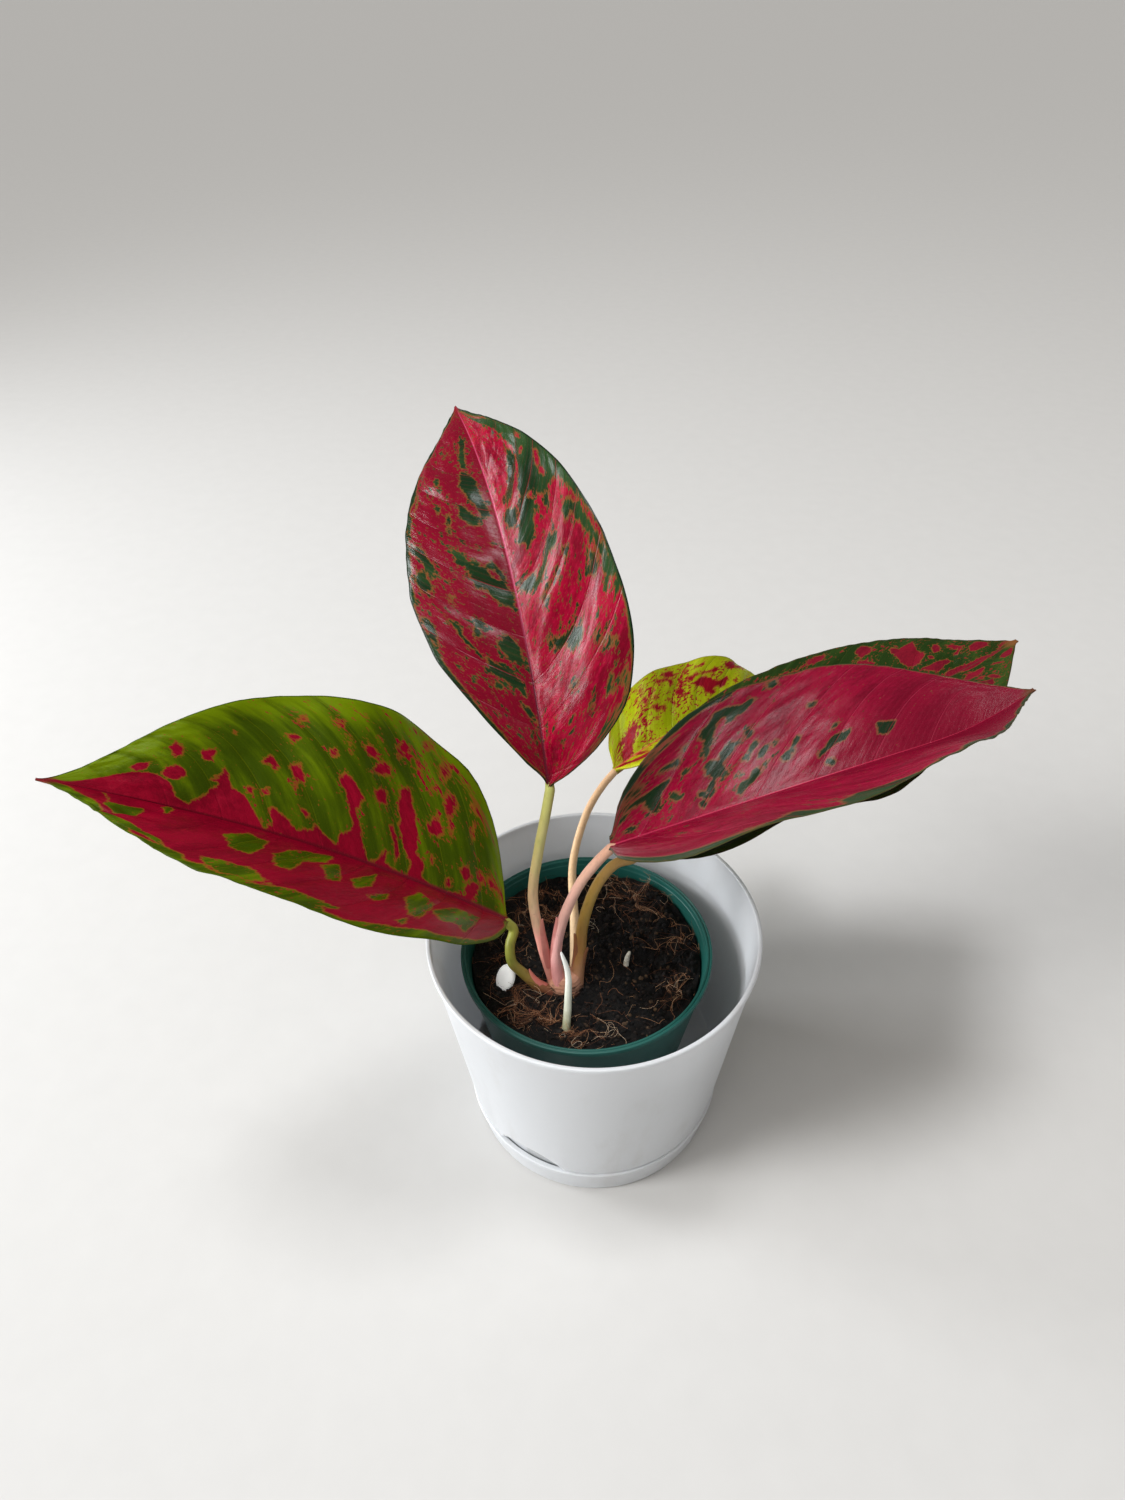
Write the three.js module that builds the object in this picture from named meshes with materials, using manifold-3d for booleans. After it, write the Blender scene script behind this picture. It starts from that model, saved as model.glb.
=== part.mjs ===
// A potted chinese evergreen: five folded leaves on long petioles, growing from one short crown
// in a nursery pot, which stands loose inside a white cover pot on its saucer.
// Millimetres, +Z up, origin at the centre of the saucer's underside, front towards -Y.
import * as THREE from 'three';
import { mergeVertices } from 'three/addons/utils/BufferGeometryUtils.js';
import Module from 'manifold-3d';

const wasm = await Module();
wasm.setup();

// Driving dimensions

const clearance = 0.3; // between neighbouring pieces
const turnSides = 60; // facets round a pot

const saucer = { bottomRadius: 58.6, topRadius: 62.2, height: 18, wall: 2.4, floor: 2.4 };

const coverPot = {
  rimRadius: 76, // outside, at the top: a six inch pot
  rimHeight: 123.3,
  footRadius: 61.8, // outside, where the wall stands on the saucer
  wall: 2.1,
  floorTop: 28,
  floorThickness: 2,
  skirtRadius: 56.5, // ring under the floor that drops into the saucer
  skirtWall: 1.8,
  skirtBottom: 9,
  holes: { count: 5, radius: 4, circle: 32, sides: 12 },
};

// Arched gap in the foot of the cover pot's wall, where the saucer can be watered
const wateringNotch = { angle: -121.5, length: 30, height: 6 };

const nurseryPot = {
  centre: [-3.4, 4.9], // it stands a little left of and behind the cover pot's axis
  rimRadius: 59.1,
  rimHeight: 103,
  lipHeight: 3.2,
  lipStep: 1.1,
  wall: 1.4,
  footRadius: 45,
  holes: { count: 6, radius: 4, circle: 33, sides: 10 },
};

const soil = {
  level: 95,
  rings: 9,
  sectors: 36,
  // mounds and hollows: x, y, height, radius
  mounds: [
    [28, 45, 4.5, 14],
    [-35, -20, 3.2, 11],
    [-12, -38, 1.6, 9],
    [-12, -12, 1.5, 14],
    [24, -12, -3, 18],
    [-34, 26, -2, 15],
  ],
  roughness: 0.7,
};

const crown = { centre: [-13, -11.5], depth: 80, girth: 8.4, top: 102, flat: 0.9, sides: 14 };

// Leaf blades. Angles in degrees: azimuth from +X towards +Y, pitch above the horizon at the
// leaf's base. sweep, droop and lift turn the midrib along its length, roll and twist turn the
// blade about it. fold raises each half from the midrib, open changes that fold towards the tip
// and curl rolls the margin down again. wave ripples the fold: degrees, start, period.
const blade = {
  thickness: 0.8,
  ribDepth: 1.9, // keel under the midrib at the base
  veins: 15, // side veins on each half
  veinLean: 0.62, // how far a side vein runs forward for each millimetre outward
  pleat: 0.5, // height of the ripple between side veins
  columns: [0, 0.08, 0.34, 0.6, 0.82, 1],
  // half outline: place along the midrib, share of the greatest half width
  outline: [
    [0, 0.035], [0.04, 0.29], [0.12, 0.62], [0.25, 0.91], [0.4, 1], [0.55, 0.95],
    [0.7, 0.8], [0.82, 0.55], [0.91, 0.27], [0.96, 0.11], [1, 0.014],
  ],
};

const leaves = [
  {
    name: 'upright',
    base: [-18, 5, 200], azimuth: 103, sweep: 8, pitch: 58, droop: 50, lift: -1,
    roll: 23, twist: 13.5, length: 192, width: 96,
    right: { fold: 27.5, open: 1, curl: 20, wave: [0, 0.12, 0.34] },
    left: { fold: 21, open: -2, curl: 28, wave: [0, 0.12, 0.34] },
    skew: 0.104, unequal: -0.05, baseTaper: 1.37, tipTaper: 1.04,
  },
  {
    name: 'left',
    base: [-38.5, -3.5, 129], azimuth: 195, sweep: -4, pitch: 45, droop: 22, lift: 1.5,
    roll: 6.5, twist: 3, length: 200, width: 123.5,
    right: { fold: 39.5, open: 1, curl: 16.5, wave: [3, 0.13, 0.34] },
    left: { fold: 36, open: 0, curl: 20.5, wave: [-1, 0.1, 0.34] },
    skew: 0.023, unequal: -0.07, baseTaper: 1.15, tipTaper: 1.25,
  },
  {
    name: 'front',
    base: [7.5, 0.5, 172], azimuth: 0, sweep: 25.5, pitch: 24, droop: 26, lift: 25.5,
    roll: 3.5, twist: 5.5, length: 190.5, width: 109,
    right: { fold: 34.5, open: 11, curl: 13.5, wave: [-2.5, 0.15, 0.35] },
    left: { fold: 31.5, open: 2, curl: 14, wave: [-1.5, 0.12, 0.34] },
    skew: 0.025, unequal: 0, baseTaper: 0.725, tipTaper: 0.9,
  },
  {
    name: 'back',
    base: [17, 12, 154], azimuth: 24.5, sweep: 3, pitch: 20, droop: 12, lift: 5,
    roll: 4, twist: -2.5, length: 212, width: 105.5,
    right: { fold: 27, open: -10.5, curl: 18.5, wave: [-6, 0.08, 0.41] },
    left: { fold: 24, open: -1.5, curl: 22, wave: [0.5, 0.11, 0.34] },
    skew: -0.012, unequal: 0.007, baseTaper: 1.115, tipTaper: 0.925,
  },
  {
    name: 'small',
    base: [10.5, 72.5, 154], azimuth: 34.5, sweep: 4, pitch: 17.5, droop: 48, lift: -2,
    roll: 0.5, twist: -5.5, length: 123, width: 66,
    right: { fold: 36, open: -3, curl: 10, wave: [0, 0.12, 0.34] },
    left: { fold: 35.5, open: 6.5, curl: 11.5, wave: [-5.5, 0.15, 0.35] },
    skew: 0, unequal: -0.007, baseTaper: 0.86, tipTaper: 0.97,
  },
];

// Petioles: the points that each centreline passes from the crown to its blade, its radius at
// both ends, and the free tips of its sheath: place along the petiole, the way that each turns,
// height and half width
const petioles = {
  upright: {
    route: [[-17.5, -11, 94], [-22.7, -10.5, 120.2], [-26.3, -6.1, 147.5], [-22.9, -4.4, 174.8],
      [-19.7, 0.2, 190.7]],
    radius: [3, 2.1],
    sheaths: [{ at: 0.37, out: [1, -0.3, 0], height: 30, width: 2 }],
  },
  left: {
    route: [[-18.5, -15.2, 94], [-25.8, -14.8, 98.7], [-31.6, -13, 104.2], [-36.9, -11.8, 110.8],
      [-37.7, -8.2, 118.2], [-36.1, -4, 124.2]],
    radius: [3.1, 2.2],
    sheaths: [{ at: 0.3, out: [0.5, 0.4, 0.8], height: 13, width: 1.8 }],
  },
  front: {
    route: [[-15, -15.3, 94], [-16.9, -11.5, 115.4], [-13.3, -8.3, 136.2], [-5.3, -4.5, 155.7],
      [2, -1.7, 165.7]],
    radius: [3.2, 2.2],
    sheaths: [{ at: 0.47, out: [-1, -0.2, 0], height: 24, width: 1.4 }],
  },
  back: {
    route: [[-8.4, -13, 94], [-6.4, -7.1, 110.2], [-4.2, -0.9, 128.1], [2.5, 6.2, 144.7],
      [10.1, 10.3, 152.1]],
    radius: [3.8, 2.3],
    sheaths: [
      { at: 0.34, out: [-1, -0.3, 0], height: 22, width: 2.2 },
      { at: 0.26, out: [1, -0.2, 0], height: 17, width: 2 },
    ],
  },
  small: {
    route: [[-8.5, -6.5, 95], [-9.1, 15.6, 110.6], [-9.9, 36, 125.7], [-3.3, 54.8, 141.5],
      [4.3, 65.6, 149.5]],
    radius: [2.6, 1.8],
    sheaths: [],
  },
};
const petiole = { sides: 10, steps: 15, flare: 0.24 };
// seat: share of the petiole's radius where a wing starts, flare: how far its tip stands off,
// point: how sharply it narrows, thick: half its thickness at the root and the tip
const sheath = { seat: 0.75, flare: 1.6, point: 0.96, thick: [1.1, 0.55], steps: 6, sides: 8 };

// Young white shoot at the front, and two pale bits lying in the soil
const shoot = {
  route: [[-12.2, -37, 84], [-12.1, -36.9, 94], [-11.2, -31, 108], [-11.2, -25.5, 121],
    [-14, -22, 130.5]],
  radius: [2.1, 0.35],
};
const chip = {
  centre: [-41, -12, 97.5], radius: 5.6, thickness: 3.4, sides: 18, lean: -32, turn: -50,
};
const sliver = { route: [[15.2, 0.5, 91], [15.8, 1.4, 98], [17, 1.8, 102.5]], radius: [1.3, 0.3] };

// Finishes

const finish = (color, roughness) => new THREE.MeshStandardMaterial({ color, roughness, metalness: 0 });
const finishes = {
  coverPot: finish(0xe9e9e6, 0.35),
  nurseryPot: finish(0x10493b, 0.4),
  soil: finish(0x241a14, 0.95),
  crown: finish(0xb98a6c, 0.6),
  shoot: finish(0xe8ecd2, 0.5),
  chip: finish(0xf1f1ee, 0.7),
  petiole: {
    upright: finish(0xd6c090, 0.45), left: finish(0x8f9a3c, 0.45), front: finish(0xdb9f93, 0.45),
    back: finish(0xa8863a, 0.45), small: finish(0xe0bd95, 0.45),
  },
  blade: {
    upright: finish(0xb02a48, 0.35), left: finish(0x5d7a1f, 0.35), front: finish(0xb3213f, 0.35),
    back: finish(0x2f4a2c, 0.35), small: finish(0xa9b03a, 0.35),
  },
};

const part = new THREE.Group();
const radians = THREE.MathUtils.degToRad;

// Closed meshes and solids

function solidOf(geometry) {
  const bare = new THREE.BufferGeometry();
  bare.setAttribute('position', geometry.getAttribute('position'));
  if (geometry.index) bare.setIndex(geometry.index);
  const merged = mergeVertices(bare, 1e-4);
  return new wasm.Manifold(new wasm.Mesh({
    numProp: 3,
    vertProperties: new Float32Array(merged.getAttribute('position').array),
    triVerts: new Uint32Array(merged.index.array),
  }));
}

function geometryOf(solid) {
  const mesh = solid.getMesh();
  const geometry = new THREE.BufferGeometry();
  geometry.setAttribute('position', new THREE.BufferAttribute(new Float32Array(mesh.vertProperties), 3));
  geometry.setIndex(new THREE.BufferAttribute(new Uint32Array(mesh.triVerts), 1));
  geometry.computeVertexNormals();
  return geometry;
}

// A closed body through rings of points, each ring with the same count, ends capped flat
function loft(rings) {
  const count = rings[0].length;
  const positions = rings.flat().flatMap((p) => [p.x, p.y, p.z]);
  const index = [];
  for (let r = 0; r + 1 < rings.length; r += 1) {
    for (let k = 0; k < count; k += 1) {
      const a = r * count + k;
      const b = r * count + ((k + 1) % count);
      index.push(a, b, b + count, a, b + count, a + count);
    }
  }
  const last = (rings.length - 1) * count;
  for (let k = 1; k + 1 < count; k += 1) {
    index.push(0, k + 1, k);
    index.push(last, last + k, last + k + 1);
  }
  const geometry = new THREE.BufferGeometry();
  geometry.setAttribute('position', new THREE.Float32BufferAttribute(positions, 3));
  geometry.setIndex(index);
  return geometry;
}

// A turned body from an outline of [radius, height] points, about +Z
function turned(outline, sides = turnSides) {
  const points = outline.map(([r, z]) => new THREE.Vector2(r, z));
  return new THREE.LatheGeometry(points, sides).rotateX(Math.PI / 2);
}

function addPiece(name, geometry, material) {
  const mesh = new THREE.Mesh(geometry, material);
  mesh.name = name;
  part.add(mesh);
  return mesh;
}

// Pots

const coverTaper = (coverPot.rimRadius - coverPot.footRadius) / (coverPot.rimHeight - saucer.height);
const coverRadiusAt = (z) => coverPot.rimRadius - coverTaper * (coverPot.rimHeight - z);

function saucerGeometry() {
  const { bottomRadius, topRadius, height, wall, floor } = saucer;
  return turned([
    [0, 0], [bottomRadius - 1.5, 0], [bottomRadius, 1.2], [topRadius, height],
    [topRadius - wall, height], [bottomRadius - wall, floor], [0, floor],
  ]);
}

function drainHoles(holes, top, bottom) {
  let drills = null;
  for (let k = 0; k < holes.count; k += 1) {
    const turn = (2 * Math.PI * k) / holes.count;
    const drill = new THREE.CylinderGeometry(holes.radius, holes.radius, top - bottom, holes.sides);
    drill.rotateX(Math.PI / 2);
    drill.translate(holes.circle * Math.cos(turn), holes.circle * Math.sin(turn), (top + bottom) / 2);
    const solid = solidOf(drill);
    drills = drills ? drills.add(solid) : solid;
  }
  return drills;
}

// The notch is an arch seen square on to the wall, cut through the wall and part of the skirt
function notchCutter() {
  const { angle, length, height } = wateringNotch;
  const foot = saucer.height + clearance;
  const arch = new THREE.Shape();
  arch.moveTo(-length / 2, -3);
  arch.lineTo(length / 2, -3);
  arch.lineTo(length / 2, 0);
  arch.quadraticCurveTo(length / 4, height, 0, height);
  arch.quadraticCurveTo(-length / 4, height, -length / 2, 0);
  const reach = 14;
  const cutter = new THREE.ExtrudeGeometry(
    arch, { depth: reach, bevelEnabled: false, curveSegments: 5 },
  );
  cutter.rotateX(Math.PI / 2).rotateZ(Math.PI / 2);
  cutter.translate(coverPot.footRadius - 4, 0, 0);
  cutter.rotateZ(radians(angle)).translate(0, 0, foot);
  return cutter;
}

function coverPotGeometry() {
  const { rimRadius, rimHeight, wall, floorTop, floorThickness } = coverPot;
  const foot = saucer.height + clearance;
  const floorUnder = floorTop - floorThickness;
  const ringOutside = coverPot.skirtRadius;
  const ringInside = ringOutside - coverPot.skirtWall;
  const body = solidOf(turned([
    [0, floorUnder], [ringInside, floorUnder], [ringInside, coverPot.skirtBottom],
    [ringOutside, coverPot.skirtBottom], [ringOutside, floorUnder],
    [coverRadiusAt(floorUnder) - wall, floorUnder], [coverRadiusAt(foot) - wall, foot],
    [coverRadiusAt(foot), foot], [rimRadius - 0.1, rimHeight - 0.7], [rimRadius - 0.7, rimHeight],
    [rimRadius - wall + 0.5, rimHeight], [rimRadius - wall, rimHeight - 0.6],
    [coverRadiusAt(floorTop) - wall, floorTop], [0, floorTop],
  ]));
  return geometryOf(body
    .subtract(drainHoles(coverPot.holes, floorTop + 1, floorUnder - 1))
    .subtract(solidOf(notchCutter())));
}

const nurseryFoot = coverPot.floorTop + clearance;
const nurseryTaper = (nurseryPot.rimRadius - nurseryPot.lipStep - nurseryPot.footRadius)
  / (nurseryPot.rimHeight - nurseryFoot);
const nurseryInsideAt = (z) => (
  nurseryPot.footRadius - nurseryPot.wall + nurseryTaper * (z - nurseryFoot)
);

function nurseryPotGeometry() {
  const { rimRadius, rimHeight, lipHeight, lipStep, wall, footRadius } = nurseryPot;
  const bodyRadius = rimRadius - lipStep;
  const lipFoot = rimHeight - lipHeight;
  const body = solidOf(turned([
    [0, nurseryFoot], [footRadius - 1, nurseryFoot], [footRadius, nurseryFoot + 1],
    [bodyRadius - nurseryTaper * lipHeight, lipFoot], [rimRadius, lipFoot + 0.6],
    [rimRadius, rimHeight - 0.5], [rimRadius - 0.5, rimHeight],
    [nurseryInsideAt(rimHeight), rimHeight], [footRadius - wall, nurseryFoot + wall],
    [0, nurseryFoot + wall],
  ]));
  const [x, y] = nurseryPot.centre;
  return geometryOf(body
    .subtract(drainHoles(nurseryPot.holes, nurseryFoot + wall + 1, nurseryFoot - 1)))
    .translate(x, y, 0);
}

// Soil

function soilHeight(x, y) {
  const fine = Math.sin(0.61 * x + 1.3 * Math.sin(0.23 * y)) * Math.cos(0.53 * y + Math.sin(0.31 * x));
  return soil.mounds.reduce((z, [mx, my, height, radius]) => {
    const away = Math.hypot(x - mx, y - my) / radius;
    return z + height * Math.exp(-away * away);
  }, soil.level + soil.roughness * fine);
}

function soilSolid() {
  const [cx, cy] = nurseryPot.centre;
  const floor = nurseryFoot + nurseryPot.wall + clearance;
  const ring = (radius, height) => Array.from({ length: soil.sectors }, (_, k) => {
    const turn = (2 * Math.PI * k) / soil.sectors;
    const x = cx + radius * Math.cos(turn);
    const y = cy + radius * Math.sin(turn);
    return new THREE.Vector3(x, y, height ?? soilHeight(x, y));
  });
  // the soil's facets stay inside the pot's own facets
  const facet = Math.cos(Math.PI / turnSides);
  const edgeAt = (z) => nurseryInsideAt(z) * facet - clearance;
  const rings = [ring(edgeAt(floor) - 0.3, floor)];
  for (let k = soil.rings; k > 0; k -= 1) {
    const share = (k - 0.85) / (soil.rings - 0.85);
    rings.push(ring(edgeAt(soil.level - 6) * share));
  }
  return solidOf(loft(rings));
}

const curveThrough = (route) => new THREE.CatmullRomCurve3(
  route.map((p) => new THREE.Vector3(...p)), false, 'centripetal',
);

// Stems: round bodies along a smooth route. grow widens and lengthens one, for the room around
// it, and facing turns its last ring.
function stemRings(route, radiusAt, { sides, steps, grow = 0, facing = null }) {
  const curve = curveThrough(route);
  const rings = [];
  const upright = new THREE.Vector3(0, 1, 0);
  for (let i = 0; i <= steps; i += 1) {
    const t = i / steps;
    const along = i === steps && facing ? facing : curve.getTangentAt(t);
    const spare = (i === 0 ? -grow : 0) + (i === steps ? grow : 0);
    const centre = curve.getPointAt(t).addScaledVector(along, spare);
    const across = new THREE.Vector3().crossVectors(upright, along).normalize();
    const deep = new THREE.Vector3().crossVectors(along, across);
    const radius = radiusAt(t) + grow;
    rings.push(Array.from({ length: sides }, (_, k) => {
      const turn = (2 * Math.PI * k) / sides;
      return centre.clone()
        .addScaledVector(across, radius * Math.cos(turn))
        .addScaledVector(deep, radius * Math.sin(turn));
    }));
  }
  return rings;
}

function crownSolid(grow = 0) {
  const { centre, depth, girth, top, flat, sides } = crown;
  const outline = [
    [0, depth - grow], [girth * 0.7, depth - grow], [girth, depth + 5], [girth * 1.04, top - 9],
    [girth * 0.9, top - 4], [girth * 0.55, top - 0.8], [0, top],
  ].map(([r, z], k, all) => [r > 0 ? r + grow : 0, k > all.length / 2 ? z + grow : z]);
  return solidOf(turned(outline, sides).scale(1, flat, 1).translate(...centre, 0));
}

function petioleRoute(leaf) {
  const end = new THREE.Vector3(...leaf.base).addScaledVector(midribDirection(leaf, 0), -clearance);
  return [...petioles[leaf.name].route, end.toArray()];
}

function petioleSolid(leaf, grow = 0) {
  const [foot, neck] = petioles[leaf.name].radius;
  const radiusAt = (t) => neck + (foot - neck) * Math.exp(-t / petiole.flare);
  const route = petioleRoute(leaf);
  const facing = midribDirection(leaf, 0);
  const stem = solidOf(loft(stemRings(route, radiusAt, { ...petiole, grow, facing })));
  return petioles[leaf.name].sheaths.reduce(
    (solid, wing) => solid.add(sheathSolid(route, wing, radiusAt, grow)),
    stem,
  );
}

// The free, pointed end of a sheath: a thin wing that leaves the petiole's side as it rises
function sheathSolid(route, { at, out, height, width }, radiusAt, grow) {
  const curve = curveThrough(route);
  const end = Math.min(1, at + grow / curve.getLength());
  const start = Math.max(0, at - (height + grow) / curve.getLength());
  const { steps, sides } = sheath;
  const outward = new THREE.Vector3(...out);
  const rings = [];
  for (let i = 0; i <= steps; i += 1) {
    const share = i / steps;
    const t = start + (end - start) * share;
    const along = curve.getTangentAt(t);
    const away = outward.clone().addScaledVector(along, -outward.dot(along)).normalize();
    const broad = new THREE.Vector3().crossVectors(along, away);
    const stand = radiusAt(t) * sheath.seat + sheath.flare * share * share;
    const centre = curve.getPointAt(t).addScaledVector(away, stand);
    const half = width * Math.sqrt(1 - sheath.point * share * share) + grow;
    const thick = THREE.MathUtils.lerp(...sheath.thick, share) + grow;
    rings.push(Array.from({ length: sides }, (_, k) => {
      const turn = (2 * Math.PI * k) / sides;
      return centre.clone()
        .addScaledVector(away, thick * Math.cos(turn))
        .addScaledVector(broad, half * Math.sin(turn));
    }));
  }
  return solidOf(loft(rings));
}

// Leaf blades

const smooth = (from, to, x) => THREE.MathUtils.smoothstep(x, from, to);

function midribDirection(leaf, s) {
  const azimuth = radians(leaf.azimuth + leaf.sweep * s);
  const pitch = radians(leaf.pitch - leaf.droop * s ** 1.2 + leaf.lift * smooth(0.7, 1, s));
  return new THREE.Vector3(
    Math.cos(pitch) * Math.cos(azimuth), Math.cos(pitch) * Math.sin(azimuth), Math.sin(pitch),
  );
}

// Slopes of a monotone curve through the outline's points, so that it never overshoots
const outlineSlopes = blade.outline.map(([s, w], k, all) => {
  if (k === 0 || k === all.length - 1) return 0;
  const [s0, w0] = all[k - 1];
  const [s1, w1] = all[k + 1];
  const before = (w - w0) / (s - s0);
  const after = (w1 - w) / (s1 - s);
  if (before * after <= 0) return 0;
  const a = 2 * (s1 - s) + (s - s0);
  const b = (s1 - s) + 2 * (s - s0);
  return (a + b) / (a / before + b / after);
});

function outlineAt(s) {
  const points = blade.outline;
  let k = 0;
  while (k < points.length - 2 && s > points[k + 1][0]) k += 1;
  const [s0, w0] = points[k];
  const [s1, w1] = points[k + 1];
  const span = s1 - s0;
  const t = THREE.MathUtils.clamp((s - s0) / span, 0, 1);
  return w0 * (1 + 2 * t) * (1 - t) ** 2 + w1 * t * t * (3 - 2 * t)
    + span * (outlineSlopes[k] * t * (1 - t) ** 2 - outlineSlopes[k + 1] * t * t * (1 - t));
}

function halfWidth(leaf, side, s) {
  const sign = side === 'right' ? 1 : -1;
  const place = THREE.MathUtils.clamp(s + sign * leaf.skew * 4 * s * (1 - s), 0, 1);
  const taper = leaf.baseTaper + (leaf.tipTaper - leaf.baseTaper) * place;
  return (leaf.width / 2) * outlineAt(place) ** taper * (1 - sign * leaf.unequal);
}

// Midrib frames at even steps: place, and the blade's sideways and upward directions there
function midrib(leaf) {
  const steps = 60;
  const frames = [];
  const place = new THREE.Vector3(...leaf.base);
  for (let i = 0; i <= steps; i += 1) {
    const s = i / steps;
    const along = midribDirection(leaf, s);
    if (i > 0) {
      const mean = along.clone().add(midribDirection(leaf, s - 1 / steps)).multiplyScalar(0.5);
      place.addScaledVector(mean, leaf.length / steps);
    }
    const level = new THREE.Vector3().crossVectors(along, new THREE.Vector3(0, 0, 1)).normalize();
    const roll = radians(leaf.roll + leaf.twist * s);
    const across = level.clone().applyAxisAngle(along, -roll);
    const up = new THREE.Vector3().crossVectors(across, along);
    frames.push({ place: place.clone(), across, up });
  }
  return (s) => {
    const x = THREE.MathUtils.clamp(s, 0, 1) * steps;
    const k = Math.min(Math.floor(x), steps - 1);
    const t = x - k;
    const [a, b] = [frames[k], frames[k + 1]];
    return {
      place: a.place.clone().lerp(b.place, t),
      across: a.across.clone().lerp(b.across, t).normalize(),
      up: a.up.clone().lerp(b.up, t).normalize(),
    };
  };
}

// A point of the blade: q counts the side veins along the midrib, v runs out to the margin
function bladePoint(leaf, frameAt, side, q, v) {
  const sign = side === 'right' ? 1 : -1;
  const { fold, open, curl, wave } = leaf[side];
  const s = Math.min(1, q + (blade.veinLean * v * halfWidth(leaf, side, q)) / leaf.length);
  const { place, across, up } = frameAt(s);
  const [swing, start, period] = wave;
  const ripple = swing * Math.cos((2 * Math.PI * (s - start)) / period);
  const raise = radians(fold + open * (s - 0.4) + ripple);
  const roll = radians(curl);
  const reach = halfWidth(leaf, side, s);
  const outward = (reach * (Math.sin(raise) - Math.sin(raise - roll * v))) / roll;
  const upward = (reach * (Math.cos(raise - roll * v) - Math.cos(raise))) / roll;
  const fade = Math.sin(Math.PI * v) ** 0.8 * Math.sin(Math.PI * q) ** 0.5;
  const pleat = blade.pleat * fade * Math.cos(2 * Math.PI * blade.veins * q);
  return place
    .addScaledVector(across, sign * outward)
    .addScaledVector(up, upward + pleat);
}

function bladeGeometry(leaf) {
  const stations = 2 * blade.veins;
  const sides = [
    ...blade.columns.slice(1).reverse().map((v) => ['left', v]),
    ...blade.columns.map((v) => ['right', v]),
  ];
  const columns = sides.length;
  const frameAt = midrib(leaf);
  const middle = [];
  for (let i = 0; i <= stations; i += 1) {
    middle.push(sides.map(([side, v]) => bladePoint(leaf, frameAt, side, i / stations, v)));
  }
  const clampTo = (k, top) => Math.max(0, Math.min(top, k));
  const near = (i, j) => middle[clampTo(i, stations)][clampTo(j, columns - 1)];
  const faceNormal = (i, j) => {
    const along = near(i + 1, j).clone().sub(near(i - 1, j));
    const over = near(i, j + 1).clone().sub(near(i, j - 1));
    return over.cross(along).normalize();
  };
  const positions = [];
  for (const face of [1, -1]) {
    for (let i = 0; i <= stations; i += 1) {
      for (let j = 0; j < columns; j += 1) {
        const rib = face < 0 && sides[j][1] === 0 ? blade.ribDepth * (1 - i / stations) ** 0.8 : 0;
        const offset = (face * blade.thickness) / 2 - rib;
        const p = middle[i][j].clone().addScaledVector(faceNormal(i, j), offset);
        positions.push(p.x, p.y, p.z);
      }
    }
  }
  const under = (stations + 1) * columns;
  const at = (i, j) => i * columns + j;
  const index = [];
  for (let i = 0; i < stations; i += 1) {
    for (let j = 0; j + 1 < columns; j += 1) {
      const [a, b, c, d] = [at(i, j), at(i, j + 1), at(i + 1, j + 1), at(i + 1, j)];
      index.push(a, b, c, a, c, d);
      index.push(under + a, under + c, under + b, under + a, under + d, under + c);
    }
    const edges = [[at(i, 0), at(i + 1, 0)], [at(i + 1, columns - 1), at(i, columns - 1)]];
    for (const [a, b] of edges) index.push(a, b, under + b, a, under + b, under + a);
  }
  for (let j = 0; j + 1 < columns; j += 1) {
    const [a, b] = [at(0, j + 1), at(0, j)];
    index.push(a, b, under + b, a, under + b, under + a);
    const [c, d] = [at(stations, j), at(stations, j + 1)];
    index.push(c, d, under + d, c, under + d, under + c);
  }
  const geometry = new THREE.BufferGeometry();
  geometry.setAttribute('position', new THREE.Float32BufferAttribute(positions, 3));
  geometry.setIndex(index);
  return geometry;
}

// Assembly

addPiece('saucer', saucerGeometry(), finishes.coverPot);
addPiece('cover_pot', coverPotGeometry(), finishes.coverPot);
addPiece('nursery_pot', nurseryPotGeometry(), finishes.nurseryPot);
addPiece('crown', geometryOf(crownSolid()), finishes.crown);

// Each petiole is cut clear of the crown and of the petioles that wrap round it
const cutters = [crownSolid(clearance)];
for (const name of ['front', 'upright', 'back', 'left', 'small']) {
  const leaf = leaves.find((one) => one.name === name);
  const whole = cutters.reduce((rest, cutter) => rest.subtract(cutter), petioleSolid(leaf));
  const pieces = whole.decompose();
  pieces.sort((a, b) => b.volume() - a.volume());
  addPiece(`petiole_${name}`, geometryOf(pieces[0]), finishes.petiole[name]);
  cutters.push(petioleSolid(leaf, clearance));
}

for (const leaf of leaves) {
  addPiece(`blade_${leaf.name}`, bladeGeometry(leaf), finishes.blade[leaf.name]);
}

const taperedStem = ({ route, radius }, grow = 0) => solidOf(loft(stemRings(
  route,
  (t) => radius[1] + (radius[0] - radius[1]) * Math.sqrt(1 - t * t),
  { sides: 10, steps: 12, grow },
)));

function chipSolid(grow = 0) {
  const { radius, thickness, sides, lean, turn, centre } = chip;
  const disc = new THREE.CylinderGeometry(radius + grow, radius + grow, thickness + 2 * grow, sides);
  disc.rotateX(radians(lean)).rotateZ(radians(turn)).translate(...centre);
  return solidOf(disc);
}

addPiece('shoot', geometryOf(taperedStem(shoot)), finishes.shoot);
addPiece('chip', geometryOf(chipSolid()), finishes.chip);
addPiece('sliver', geometryOf(taperedStem(sliver)), finishes.chip);

const bedded = [
  crownSolid(clearance), taperedStem(shoot, clearance), chipSolid(clearance),
  taperedStem(sliver, clearance), ...leaves.map((leaf) => petioleSolid(leaf, clearance)),
];
const pottedSoil = bedded.reduce((rest, piece) => rest.subtract(piece), soilSolid());
addPiece('soil', geometryOf(pottedSoil), finishes.soil);

export default part;
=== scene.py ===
# A potted chinese evergreen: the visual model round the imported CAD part, with its camera and light.
import math

import bpy
import numpy as np
from mathutils import Matrix, Vector, noise


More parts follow.
